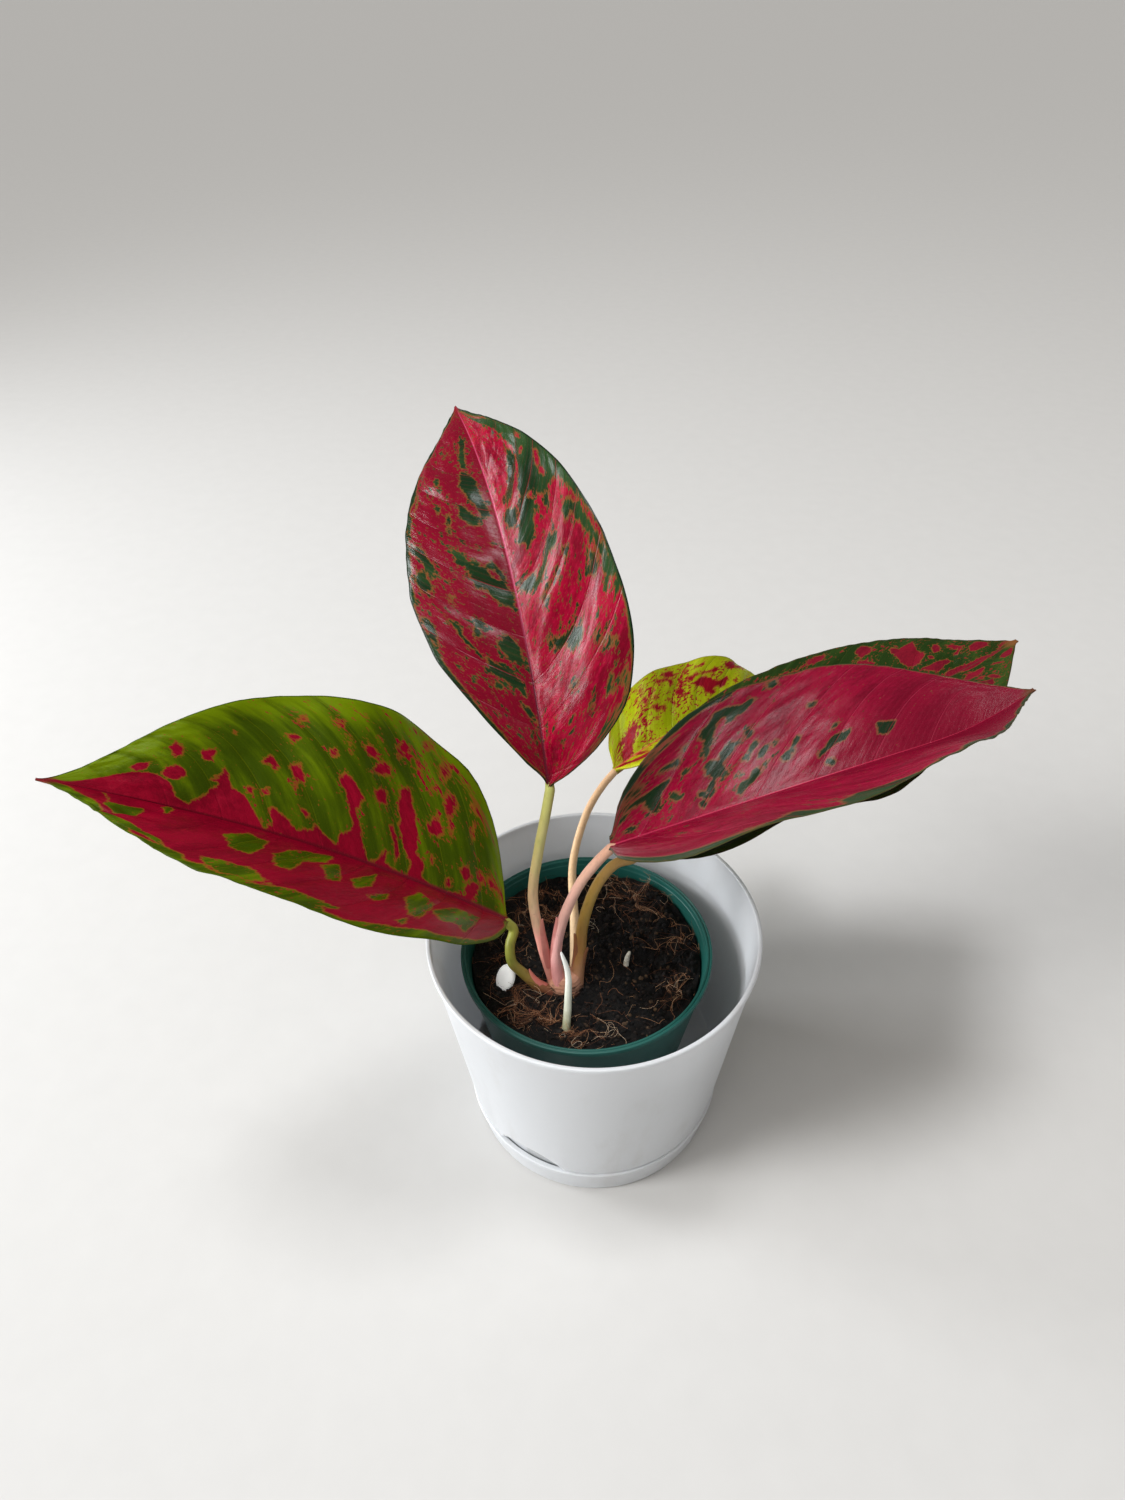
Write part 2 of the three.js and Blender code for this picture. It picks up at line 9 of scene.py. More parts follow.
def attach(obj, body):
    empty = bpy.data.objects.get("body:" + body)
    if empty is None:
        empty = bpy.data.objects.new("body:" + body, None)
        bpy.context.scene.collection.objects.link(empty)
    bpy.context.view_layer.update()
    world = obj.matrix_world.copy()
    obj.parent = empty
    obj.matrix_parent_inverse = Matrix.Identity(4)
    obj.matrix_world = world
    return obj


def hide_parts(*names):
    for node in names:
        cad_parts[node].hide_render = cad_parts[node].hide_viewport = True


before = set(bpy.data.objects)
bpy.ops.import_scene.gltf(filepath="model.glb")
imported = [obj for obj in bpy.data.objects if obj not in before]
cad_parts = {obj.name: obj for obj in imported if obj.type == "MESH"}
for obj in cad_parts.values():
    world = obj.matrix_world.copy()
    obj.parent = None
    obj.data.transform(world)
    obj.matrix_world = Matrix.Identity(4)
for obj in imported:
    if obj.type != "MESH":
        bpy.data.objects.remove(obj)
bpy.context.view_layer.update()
scene = bpy.context.scene
scene.view_settings.view_transform = "Standard"
mm = 0.001  # every size below is in millimetres, as in the part's source


def colour(red, green, blue):  # from 0-255 as a colour picker shows it
    return tuple((c / 3294.6) if c <= 10 else ((c / 255 + 0.055) / 1.055) ** 2.4 for c in (red, green, blue))


# Shader maths: a Sock is one output socket, and an expression on it adds Math nodes
class Sock:
    def __init__(self, nodes, socket):
        self.nodes = nodes
        self.socket = socket

    def math(self, operation, *values):
        return self.nodes.node("ShaderNodeMath", {"operation": operation}, dict(enumerate(values)))

    def __add__(self, other): return self.math("ADD", self, other)
    def __radd__(self, other): return self.math("ADD", other, self)
    def __sub__(self, other): return self.math("SUBTRACT", self, other)
    def __rsub__(self, other): return self.math("SUBTRACT", other, self)
    def __mul__(self, other): return self.math("MULTIPLY", self, other)
    def __rmul__(self, other): return self.math("MULTIPLY", other, self)
    def __truediv__(self, other): return self.math("DIVIDE", self, other)
    def __pow__(self, other): return self.math("POWER", self, other)
    def __abs__(self): return self.math("ABSOLUTE", self)
    def atLeast(self, other): return self.math("MAXIMUM", self, other)
    def atMost(self, other): return self.math("MINIMUM", self, other)
    def fract(self): return self.math("FRACT", self)


class Nodes:  # a node tree, for a material or for geometry
    def node(self, kind, settings=None, sockets=None, out=0):
        made = self.tree.nodes.new(kind)
        for key, value in (settings or {}).items():
            if key == "stops":
                ramp = made.color_ramp
                for element, (place, shade) in zip(ramp.elements, (value[0], value[-1])):
                    element.position, element.color = place, (*shade, 1)
                for place, shade in value[1:-1]:
                    ramp.elements.new(place).color = (*shade, 1)
            else:
                setattr(made, key, value)
        for key, value in (sockets or {}).items():
            self.feed(made.inputs[key], value)
        return Sock(self, made.outputs[out])

    def feed(self, socket, value):
        if isinstance(value, Sock):
            self.tree.links.new(value.socket, socket)
        elif socket.type == "RGBA" and len(value) == 3:
            socket.default_value = (*value, 1)
        else:
            socket.default_value = value

    def vector(self, x, y, z=0.0):
        return self.node("ShaderNodeCombineXYZ", sockets={"X": x, "Y": y, "Z": z})

    def vectorMath(self, operation, a, b=(0, 0, 0), out=0):
        return self.node("ShaderNodeVectorMath", {"operation": operation}, {0: a, 1: b}, out)

    def vectorScale(self, vector, amount):
        return self.node("ShaderNodeVectorMath", {"operation": "SCALE"}, {0: vector, "Scale": amount})

    def noise(self, vector, scale=1.0, detail=3.0, roughness=0.5, out="Fac"):
        sockets = {"Vector": vector, "Scale": scale, "Detail": detail, "Roughness": roughness}
        return self.node("ShaderNodeTexNoise", sockets=sockets, out=out)


class Paint(Nodes):
    def __init__(self, name):
        self.material = bpy.data.materials.new(name)
        self.material.use_nodes = True
        self.tree = self.material.node_tree
        self.shader = next(n for n in self.tree.nodes if n.type == "BSDF_PRINCIPLED")

    def attribute(self, name):
        return self.node("ShaderNodeAttribute", {"attribute_name": name}, out="Fac")

    def position(self):
        return self.node("ShaderNodeTexCoord", out="Object")

    def cells(self, vector, scale, out="Distance"):
        return self.node("ShaderNodeTexVoronoi", sockets={"Vector": vector, "Scale": scale}, out=out)

    def step(self, value, low, high):
        sockets = {"Value": value, "From Min": low, "From Max": high}
        return self.node("ShaderNodeMapRange", {"interpolation_type": "SMOOTHSTEP"}, sockets)

    def mix(self, amount, a, b):
        return self.node("ShaderNodeMix", {"data_type": "RGBA"}, {0: amount, 6: a, 7: b}, out=2)

    def ramp(self, value, stops):
        return self.node("ShaderNodeValToRGB", {"stops": stops}, {"Fac": value}, out="Color")

    def bump(self, height, distance, strength=1.0):
        return self.node("ShaderNodeBump", sockets={"Height": height, "Distance": distance, "Strength": strength})

    def finish(self, **sockets):
        for key, value in sockets.items():
            self.feed(self.shader.inputs[key.replace("_", " ")], value)
        return self.material


class Growth(Nodes):  # a Geometry Nodes modifier on one object, made a plain mesh at the end
    def __init__(self, name, **inputs):
        self.tree = bpy.data.node_groups.new(name, "GeometryNodeTree")
        self.tree.interface.new_socket("Geometry", in_out="INPUT", socket_type="NodeSocketGeometry")
        self.tree.interface.new_socket("Geometry", in_out="OUTPUT", socket_type="NodeSocketGeometry")
        self.values = inputs
        kinds = {int: "NodeSocketInt", float: "NodeSocketFloat", tuple: "NodeSocketVector"}
        for key, value in inputs.items():
            kind = kinds.get(type(value), "NodeSocketMaterial")
            self.tree.interface.new_socket(key, in_out="INPUT", socket_type=kind)
        self.given = self.tree.nodes.new("NodeGroupInput")

    def input(self, key="Geometry"):
        return Sock(self, self.given.outputs[key])

    def randomValue(self, low, high, seed):
        return self.node("FunctionNodeRandomValue", sockets={2: low, 3: high, "Seed": seed}, out=1)

    def store(self, geometry, name, value, domain="POINT"):
        sockets = {"Geometry": geometry, "Name": name, "Value": value}
        return self.node("GeometryNodeStoreNamedAttribute", {"domain": domain}, sockets)

    def grown(self, name, onto, geometry):
        real = self.node("GeometryNodeRealizeInstances", sockets={0: geometry})
        last = self.node("GeometryNodeSetMaterial", sockets={"Geometry": real, "Material": self.input("Material")})
        end = self.tree.nodes.new("NodeGroupOutput")
        self.feed(end.inputs[0], last)
        modifier = onto.modifiers.new(name, "NODES")
        modifier.node_group = self.tree
        for item in self.tree.interface.items_tree:
            if item.in_out == "INPUT" and item.name in self.values:
                modifier[item.identifier] = self.values[item.name]
        evaluated = onto.evaluated_get(bpy.context.evaluated_depsgraph_get())
        mesh = bpy.data.meshes.new_from_object(evaluated)
        onto.modifiers.remove(modifier)
        piece = bpy.data.objects.new(name, mesh)
        scene.collection.objects.link(piece)
        return piece


# Mesh helpers: points are in millimetres
def unit(v):
    return v / np.linalg.norm(v, axis=-1, keepdims=True)


def ease(low, high, x):
    t = np.clip((x - low) / (high - low), 0, 1)
    return t * t * (3 - 2 * t)


def wobble(points, scale=1.0, seed=0.0):  # smooth noise, about -1 to 1, at each point
    flat = np.asarray(points, float).reshape(-1, 3) * scale + seed
    values = np.array([noise.noise(Vector(p)) for p in flat])
    return values.reshape(np.asarray(points).shape[:-1])


def meshPiece(name, points, faces, material, sharp=None, fields=None):
    mesh = bpy.data.meshes.new(name)
    mesh.from_pydata((np.asarray(points, float).reshape(-1, 3) * mm).tolist(), [], faces)
    for key, values in (fields or {}).items():
        layer = mesh.attributes.new(key, "FLOAT", "POINT")
        layer.data.foreach_set("value", np.asarray(values, np.float32).ravel())
    mesh.materials.append(material)
    mesh.update()
    piece = bpy.data.objects.new(name, mesh)
    scene.collection.objects.link(piece)
    mesh.shade_smooth()
    if sharp:
        mesh.set_sharp_from_angle(angle=math.radians(sharp))
    return piece


def gridFaces(rows, columns, start=0, closed=False):  # quads between rows of points
    faces = []
    for i in range(rows - 1):
        for j in range(columns if closed else columns - 1):
            k = (j + 1) % columns
            a, b = start + i * columns, start + (i + 1) * columns
            faces.append((a + j, a + k, b + k, b + j))
    return faces


def tubeFaces(rows, columns):  # closed rings of points with a flat face at either end
    last = (rows - 1) * columns
    ends = [tuple(range(columns))[::-1], tuple(last + k for k in range(columns))]
    return gridFaces(rows, columns, closed=True) + ends


def roundTurns(count):  # angles evenly round a circle
    return np.linspace(0, 2 * np.pi, count + 1)[:-1]


def joined(name, pieces):  # several pieces made one
    with bpy.context.temp_override(active_object=pieces[0], selected_editable_objects=pieces):
        bpy.ops.object.join()
    pieces[0].name = name
    return pieces[0]


def placed(piece, node):
    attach(piece, "root")
    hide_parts(node)
    return piece


# Camera, floor and light
view = {"place": (0, -299.76, 464.54), "pitch": 38.619, "turn": 2.3, "roll": -1.453, "focal": 983.5, "frame": 1500}
studio = {
    "floor": (208, 207, 205), "reach": 60000,
    "sun": {"from": (-0.92, -0.34, 0.8), "strength": 1.45, "spread": 20, "tint": (1.0, 0.995, 0.985)},
    "fill": {"from": (-0.25, -0.62, 1.6), "strength": 0.98, "spread": 60, "tint": (1.0, 0.965, 0.92)},
    "window": {"place": (-1430, -400, 430), "size": (460, 240), "power": 8.5, "tint": (0.94, 0.97, 1.0)},
    "doorway": {"place": (-1450, 330, 620), "size": (400, 400), "power": 11, "tint": (0.94, 0.97, 1.0)},
    "ceiling": {"place": (-230, 60, 2000), "size": (440, 440), "power": 13, "tint": (0.97, 0.98, 1.0)},
    "sky": ((1.0, 0.99, 0.97), 0.19),
}


def makeCamera():
    pitch, turn, roll = (math.radians(view[k]) for k in ("pitch", "turn", "roll"))
    ahead = Vector((-math.sin(turn) * math.cos(pitch), math.cos(turn) * math.cos(pitch), -math.sin(pitch)))
    right = ahead.cross(Vector((0, 0, 1))).normalized()
    up = right.cross(ahead)
    tilted = math.cos(roll) * right + math.sin(roll) * up
    upright = math.cos(roll) * up - math.sin(roll) * right
    data = bpy.data.cameras.new("camera")
    data.sensor_width = 36
    data.lens = view["focal"] / view["frame"] * data.sensor_width
    data.clip_end = 200
    camera = bpy.data.objects.new("camera", data)
    turned = Matrix((tilted, upright, -ahead)).transposed().to_4x4()
    camera.matrix_world = Matrix.Translation(Vector(view["place"]) * mm) @ turned
    scene.collection.objects.link(camera)
    scene.camera = camera


def addLight(name, kind, place, tint):
    data = bpy.data.lights.new(name, kind)
    data.color = tint
    light = bpy.data.objects.new(name, data)
    light.location = Vector(place)
    light.rotation_euler = (Vector((0, 0, 0.12)) - light.location).to_track_quat("-Z", "Y").to_euler()
    scene.collection.objects.link(light)
    return light


def makeStudio():
    for name in ("sun", "fill"):
        look = studio[name]
        sun = addLight(name, "SUN", look["from"], look["tint"])
        sun.data.energy = look["strength"]
        sun.data.angle = math.radians(look["spread"])
        sun.visible_glossy = False  # the sheen on the leaves comes from the panels alone
    for name in ("window", "doorway", "ceiling"):
        look = studio[name]
        panel = addLight(name, "AREA", Vector(look["place"]) * mm, look["tint"]).data
        panel.shape = "RECTANGLE"
        panel.size, panel.size_y = (side * mm for side in look["size"])
        panel.energy = look["power"]
    world = bpy.data.worlds.new("studio")
    world.use_nodes = True
    background = world.node_tree.nodes["Background"]
    background.inputs["Color"].default_value = (*studio["sky"][0], 1)
    background.inputs["Strength"].default_value = studio["sky"][1]
    scene.world = world
    paint = Paint("floor")
    speck = paint.noise(paint.position(), 60, 4)
    tone = colour(*studio["floor"])
    shade = paint.mix(speck, tuple(c * 0.97 for c in tone), tuple(min(1, c * 1.02) for c in tone))
    floorPaint = paint.finish(Base_Color=shade, Roughness=0.9, Specular_IOR_Level=0.05)
    turns = roundTurns(96)
    edge = [(studio["reach"] * math.cos(t), studio["reach"] * math.sin(t), -0.2) for t in turns]
    meshPiece("floor", edge, [tuple(range(96))], floorPaint)


makeCamera()
makeStudio()
print("camera, floor and light are set")


# Leaf blades. Each half is measured by q, the place along the midrib that a side vein starts from,
# and v, the share of the way out along that vein, so rows of the mesh follow the side veins.
bladeForm = {
    "rows": 250, "columns": 46, "thickness": 0.55, "rimThickness": 0.25,
    "keel": 2.0, "ridge": 0.45, "veinBack": 0.25,
    "outline": [(0, 0.035), (0.04, 0.29), (0.12, 0.62), (0.25, 0.91), (0.4, 1), (0.55, 0.95),
                (0.7, 0.8), (0.82, 0.55), (0.91, 0.27), (0.96, 0.11), (1, 0.014)],
}
# "right" and "left" are the fold of a half, how it opens toward the tip, its curl, and the swing, start and
# period of its waves; "veins" their number, phase and pleat; "crease" the number, start and height on the
# left and the right half; "leftPucker" the share of the pucker that the left half has
leaves = {
    "upright": {"base": (-18, 5, 200), "azimuth": 103, "sweep": 8, "pitch": 58, "droop": 50, "lift": -1,
                "roll": 23, "twist": 13.5, "length": 192, "width": 96, "skew": 0.104, "unequal": -0.05,
                "taper": (1.37, 1.04), "right": (27.5, 1, 20, 0, 0.12, 0.34), "left": (21, -2, 28, 0, 0.12, 0.34),
                "veins": (10, 0.03, 0.9), "crease": ((5, 0.02, 0.6), (4.6, 0.06, 2.0)), "pucker": 0.26,
                "leftPucker": 0.25},
    "left": {"base": (-38.5, -3.5, 129), "azimuth": 195, "sweep": -4, "pitch": 45, "droop": 22, "lift": 1.5,
             "roll": 6.5, "twist": 3, "length": 200, "width": 123.5, "skew": 0.023, "unequal": -0.07,
             "taper": (1.15, 1.25), "rib": 2.1, "right": (39.5, 1, 16.5, 3, 0.13, 0.34),
             "left": (36, 0, 20.5, -1, 0.1, 0.34), "veins": (10, 0.075, 1.0),
             "crease": ((4, 0.1, 0.4), (5, 0.1, 0.45)), "pucker": 0.1},
    "front": {"base": (7.5, 0.5, 172), "azimuth": 0, "sweep": 25.5, "pitch": 24, "droop": 26, "lift": 25.5,
              "roll": 3.5, "twist": 5.5, "length": 190.5, "width": 109, "skew": 0.025, "unequal": 0,
              "taper": (0.725, 0.9), "right": (34.5, 11, 13.5, -2, 0.15, 0.35),
              "left": (31.5, 2, 14, -0.8, 0.12, 0.34), "veins": (7.5, 0.065, 0.9),
              "crease": ((3.5, 0.1, 0.3), (4, 0.1, 0.3)), "pucker": 0.16, "smooth": (0.35, 0.7),
              "lean": (1.0, 0.6)},
    "back": {"base": (17, 12, 154), "azimuth": 24.5, "sweep": 3, "pitch": 20, "droop": 12, "lift": 5,
             "roll": 4, "twist": -2.5, "length": 212, "width": 105.5, "skew": -0.012, "unequal": 0.007,
             "taper": (1.115, 0.925), "right": (27, -10.5, 18.5, -6, 0.08, 0.41),
             "left": (24, -1.5, 22, 0.5, 0.11, 0.34), "veins": (9, 0.05, 0.7),
             "crease": ((4, 0.1, 0.5), (4, 0.1, 0.5)), "pucker": 0.1},
    "small": {"base": (10.5, 72.5, 154), "azimuth": 34.5, "sweep": 4, "pitch": 17.5, "droop": 48, "lift": -2,
              "roll": 0.5, "twist": -5.5, "length": 123, "width": 66, "skew": 0, "unequal": -0.007,
              "taper": (0.86, 0.97), "right": (36, -3, 10, 0, 0.12, 0.34),
              "left": (35.5, 6.5, 11.5, -5.5, 0.15, 0.35), "veins": (8, 0.05, 0.8),
              "crease": ((4, 0.1, 0.7), (4, 0.1, 0.5)), "pucker": 0.12},
}
# Patches, drawn as outlines in mm along the midrib and mm out along the side veins, below 0 on the left
# half. "ground" is the colour round them, left and right, and "mirrored" draws them on the other half too.
patches = {
    "upright": {
        "green": [[(142, -13), (142, -9.5), (138, -6), (128.5, -5), (123, -3.5), (118, -3.5), (116, -7),
            (122, -8.5), (126, -12), (131.5, -14.5)], [(119, -18), (120, -14.5), (117, -11), (113.5, -8.5),
            (110.5, -11), (111.5, -14.5), (114, -17)], [(166, -9.5), (163, -6), (152.5, -8.5), (144, -8.5),
            (144, -12), (153.5, -12)], [(93, -24), (93, -20.5), (90, -17), (90, -12), (94, -7), (90, -3.5),
            (84.5, -3.5), (80.5, -1), (75, -2.5), (75, -7), (77, -11), (79.5, -12), (78.5, -17), (81.5, -18),
            (86.5, -19), (89.5, -23)], [(70, -43), (74, -38.5), (69, -37), (65.5, -37), (61.5, -42),
            (64.5, -43)], [(82.5, -45.5), (85.5, -38.5), (82.5, -36), (78, -33.5), (70, -36), (74, -37),
            (79.5, -39.5), (78.5, -44.5)], [(49, -45.5), (50, -42), (45, -42), (38.5, -44.5), (41.5, -45.5),
            (46, -45.5)], [(56.5, -14.5), (61.5, -8.5), (59.5, -5), (54.5, -3.5), (51, -3.5), (50, -9.5),
            (53, -13)], [(47, -21.5), (46, -18), (46, -11), (41.5, -7), (36.5, -7), (39.5, -13), (40.5, -19),
            (41.5, -23)], [(32.5, -13), (32.5, -7), (27, -1), (29, -9.5)], [(55.5, -32.5), (55.5, -29),
            (51, -29), (48, -25), (48, -29), (51, -31)], [(62.5, -21.5), (64.5, -18), (62.5, -17),
            (58.5, -20.5), (54.5, -20.5), (54, -24)], [(91, -15.5), (91, -12), (87.5, -14.5), (88.5, -15.5)],
            [(187, 20.5), (153.5, 43), (123, 48), (104.5, 48), (87.5, 48), (73, 48), (61.5, 48), (62.5, 45.5),
            (72, 44.5), (82.5, 43), (87.5, 37), (91, 31), (98, 27.5), (102.5, 21.5), (108.5, 21.5),
            (110.5, 27.5), (118, 30), (125, 33.5), (133.5, 33.5), (141, 36), (153.5, 32.5), (173, 27.5)],
            [(130.5, 29), (122, 30), (116, 24), (111.5, 15.5), (114, 9.5), (120, 11), (125, 18)], [(114, 7),
            (105.5, 15.5), (101, 13), (104.5, 7), (110.5, 5)], [(105.5, 19), (95, 26.5), (93, 21.5), (89.5, 18),
            (90, 13), (97, 8.5), (100, 14.5)], [(81.5, 24), (72, 30), (70, 27.5), (74, 23), (72, 19), (73, 13),
            (76, 14.5), (77, 19)], [(83.5, 3.5), (79.5, 12), (76, 12), (71, 19), (71, 20.5), (71, 14.5),
            (75, 8.5), (81.5, 2.5)], [(53, 11), (47, 17), (45, 21.5), (40.5, 27.5), (36.5, 27.5), (36.5, 25),
            (37.5, 21.5), (42, 19), (47, 13)], [(30, 32.5), (26, 36), (20, 41), (18, 42), (23, 37), (28, 32.5)],
            [(52, 38.5), (46, 41), (40.5, 42), (42, 38.5), (48, 35), (46, 38.5)], [(66, 30), (61.5, 32.5),
            (59.5, 31), (62.5, 29)], [(65.5, 24), (61.5, 26.5), (60.5, 25), (63.5, 23)], [(69, 42),
            (61.5, 44.5), (55.5, 44.5), (43, 45.5), (35.5, 47), (29, 48), (30, 45.5), (36.5, 42), (39.5, 43),
            (46, 43), (57.5, 41), (67, 39.5)], [(13.5, 43), (11.5, 45.5), (9.5, 47), (11.5, 43)], [(15.5, 38.5),
            (14.5, 39.5), (11.5, 41), (13.5, 37)], [(9.5, 43), (7.5, 47), (6.5, 47), (7.5, 44.5)], [(28, 20.5),
            (25, 25), (24, 24), (25, 21.5)], [(15.5, 30), (14.5, 32.5), (12.5, 33.5), (14.5, 30)], [(66, 14.5),
            (61.5, 18), (59.5, 17), (63.5, 14.5)], [(67, 18), (64.5, 20.5), (64.5, 18), (66, 17)], [(118, -42),
            (109.5, -43), (102.5, -43), (110.5, -41)], [(86.5, -47), (96, -47), (102, -44.5), (91, -44.5),
            (78, -47)], [(115, -29), (116, -26.5), (111.5, -27.5), (110.5, -29)], [(111.5, -24), (113.5, -21.5),
            (102, -23), (101, -25)], [(131.5, -29), (132.5, -26.5), (127.5, -26.5), (127.5, -29)], [(68, -30),
            (69, -27.5), (66, -29), (65.5, -30)], [(37.5, -23), (38.5, -19), (35.5, -21.5), (34.5, -25)],
            [(73, 38.5), (68, 42), (66, 41), (68, 36), (72, 36)], [(91, 31), (87.5, 33.5), (84.5, 30),
            (88.5, 29)]],
        "red": [[(102.5, 43), (97, 44.5), (95, 39.5), (90, 38.5), (93, 36), (99, 37)], [(121, 44.5),
            (113.5, 48), (114, 43), (120, 41)], [(139, 33.5), (133.5, 37), (133.5, 30), (138, 27.5)],
            [(89.5, -11), (91, -7), (87.5, -5), (85.5, -7), (87.5, -9.5)], [(115, 37), (110.5, 39.5),
            (111.5, 35), (114, 33.5)]],
    },
    "left": {
        "red": [[(200, 62), (190, 15.5), (179, 23), (168, 26), (162, 26), (154, 21.5), (151, 15.5), (151, 7.5),
            (147, 4.5), (144, 7.5), (137, 12.5), (132, 17), (135, 18.5), (129, 21.5), (125, 26), (126, 20),
            (127, 15.5), (123, 14), (122, 9.5), (120, 4.5), (119, 1.5), (115, 4.5), (115, 9.5), (112, 11),
            (110, 9.5), (107, 6), (105, 4.5), (98, 6), (96, 9.5), (93, 6), (88, 3), (86, 7.5), (79, 11),
            (79, 15.5), (77, 21.5), (77, 28), (73, 31), (70, 29.5), (69, 23), (75, 17), (75, 11), (75, 4.5),
            (74, 1.5), (69, 0), (94, 0), (103, 0), (139, 0), (168, 0), (194, 0)], [(70, 0), (74, 1.5), (71, 3),
            (65, 3), (62, 1.5), (56, 1.5), (53, 6), (55, 12.5), (54, 18.5), (51, 26), (46, 32.5), (40, 35.5),
            (42, 29.5), (45, 18.5), (49, 11), (45, 9.5), (48, 3), (41, 0), (24, 4.5), (26, 7.5), (21, 14),
            (16, 15.5), (15, 23), (12, 24.5), (10, 20), (4, 37), (2, 48), (1, 52.5), (0, 49.5), (22, 0),
            (39, 0)], [(162, 32.5), (157, 34), (152, 32.5), (156, 26), (162, 26)], [(153, 21.5), (149, 26),
            (143, 28), (142, 23), (143, 20), (149, 17), (152, 18.5)], [(139, 41.5), (133, 45), (134, 38.5),
            (137, 34), (142, 32.5)], [(130, 34), (126, 35.5), (122, 35.5), (127, 29.5), (132, 28)], [(121, 17),
            (118, 18.5), (117, 17), (120, 14), (122, 14)], [(115, 17), (112, 18.5), (110, 18.5), (112, 15.5),
            (116, 14)], [(106, 31), (101, 32.5), (101, 28), (105, 24.5), (105, 28), (108, 28)], [(96, 29.5),
            (90, 31), (92, 26), (93, 23), (96, 23), (100, 18.5), (101, 20), (97, 26)], [(101, 12.5), (98, 12.5),
            (97, 11), (100, 9.5)], [(61, 28), (57, 29.5), (54, 29.5), (57, 24.5), (62, 23), (63, 24.5)],
            [(59, 34), (49, 40), (45, 40), (49, 35.5), (54, 34)], [(55, 43), (51, 45), (49, 43), (51, 40),
            (55, 40)], [(37, 48), (32, 51), (28, 51), (34, 46.5), (40, 43)], [(44, 55.5), (41, 57), (41, 55.5),
            (44, 54)], [(59, 51), (54, 52.5), (56, 49.5), (60, 48)], [(74, 51), (68, 52.5), (71, 49.5),
            (76, 48)], [(73, 38.5), (68, 40), (70, 37), (74, 35.5)], [(22, 55.5), (16, 60), (17, 57), (22, 54)],
            [(17, 54), (13, 57), (15, 52.5), (21, 45), (22, 46.5)], [(29, 40), (24, 43), (26, 40), (29, 38.5)],
            [(24, 40), (18, 45), (18, 41.5), (24, 34), (27, 26), (30, 24.5), (26, 32.5), (26, 35.5)],
            [(39, 24.5), (34, 28), (30, 32.5), (31, 28), (30, 26), (35, 21.5), (39, 21.5)], [(12, 52.5),
            (10, 54), (9, 54), (11, 51)], [(13, 46.5), (7, 55.5), (10, 48), (13, 45)], [(16, 37), (13, 41.5),
            (14, 37), (17, 32.5)], [(28, 15.5), (21, 20), (21, 14), (25, 11)], [(70, 3), (65, 7.5), (63, 7.5),
            (67, 1.5)], [(60, 17), (57, 18.5), (57, 14), (58, 7.5), (61, 4.5), (60, 11)], [(35, 7.5), (32, 9.5),
            (32, 4.5), (36, 3)], [(41, 14), (39, 14), (41, 9.5), (42, 9.5)], [(61, 43), (58, 45), (64, 38.5),
            (65, 38.5)], [(43, 49.5), (41, 49.5), (43, 48), (46, 46.5)], [(86, 43), (83, 43), (81, 41.5),
            (85, 40), (90, 37), (87, 40)], [(107, 45), (106, 43), (108, 41.5), (110, 41.5)], [(30, 46.5),
            (27, 48), (30, 43), (32, 43)], [(12, 54), (11, 55.5), (12, 52.5), (14, 51)]],
        "green": [[(177, -4.5), (167, -31), (160, -21.5), (158, -15.5), (153, -34), (155, -45), (164, -40)],
            [(155, -6), (155, 0), (152, -4.5), (151, -12.5)], [(123, -24.5), (120, -12.5), (112, -14),
            (107, -26), (104, -35.5), (109, -35.5), (115, -31)], [(100, -29.5), (101, -18.5), (96, -11),
            (88, -9.5), (85, -21.5), (90, -28), (85, -40), (90, -40)], [(84, -26), (81, -18.5), (71, -34),
            (74, -35.5)], [(108, -51), (102, -49.5), (93, -48), (78, -54), (81, -57), (89, -58.5),
            (100, -55.5)], [(70, -28), (67, -15.5), (62, -29.5), (64, -35.5)], [(47, -32.5), (45, -23),
            (36, -31), (33, -48), (37, -46.5)], [(33, -38.5), (29, -28), (15, -29.5), (17, -51), (22, -46.5),
            (27, -46.5)], [(58, -37), (54, -31), (51, -37), (53, -40)], [(149, -58.5), (134, -55.5),
            (117, -55.5), (123, -52.5), (140, -49.5), (152, -51)], [(77, -55.5), (63, -54), (52, -54),
            (58, -58.5), (67, -62)], [(38, -52.5), (36, -49.5), (34, -54)]],
    },
    "front": {
        "green": [[(0, -42), (1, -38), (2, -31.5), (1, -32.5), (2, -24.5), (1, -27), (0, -35.5), (0, -38),
            (0, -41)], [(0, -46.5), (0, -47.5), (1, -45), (1, -43.5), (1, -42)], [(4, -27), (3, -31.5),
            (4, -31.5), (5, -27), (5, -24.5)], [(4, -32.5), (5, -32.5), (7.5, -28.5), (8.5, -28.5),
            (10.5, -28.5), (12.5, -26), (11.5, -24.5), (11.5, -22), (13.5, -17.5), (15, -12.5), (12.5, -13.5),
            (9.5, -19), (8.5, -22), (7.5, -26), (5, -30)], [(17, -17.5), (17, -19), (21, -16.5), (24, -13.5),
            (22, -13.5), (20, -15)], [(8.5, -35.5), (8.5, -37), (11.5, -34), (12.5, -32.5), (12.5, -31.5)],
            [(16, -27), (17, -27), (19, -26), (20, -24.5), (17, -26)], [(3, -47.5), (3, -50.5), (4, -52),
            (4, -54.5), (5.5, -53), (6.5, -50.5), (5.5, -50.5), (6.5, -46.5), (5.5, -46.5), (5.5, -45),
            (5, -45), (4, -46.5)], [(5.5, -37), (4, -43.5), (5, -42), (5.5, -39.5), (6.5, -35.5), (6.5, -34)],
            [(14.5, -39.5), (13.5, -42), (15, -42), (14.5, -45), (13.5, -47.5), (15, -47.5), (19, -46.5),
            (23, -45), (25, -46.5), (28.5, -45), (27.5, -43.5), (27.5, -41), (25, -41), (25, -39.5),
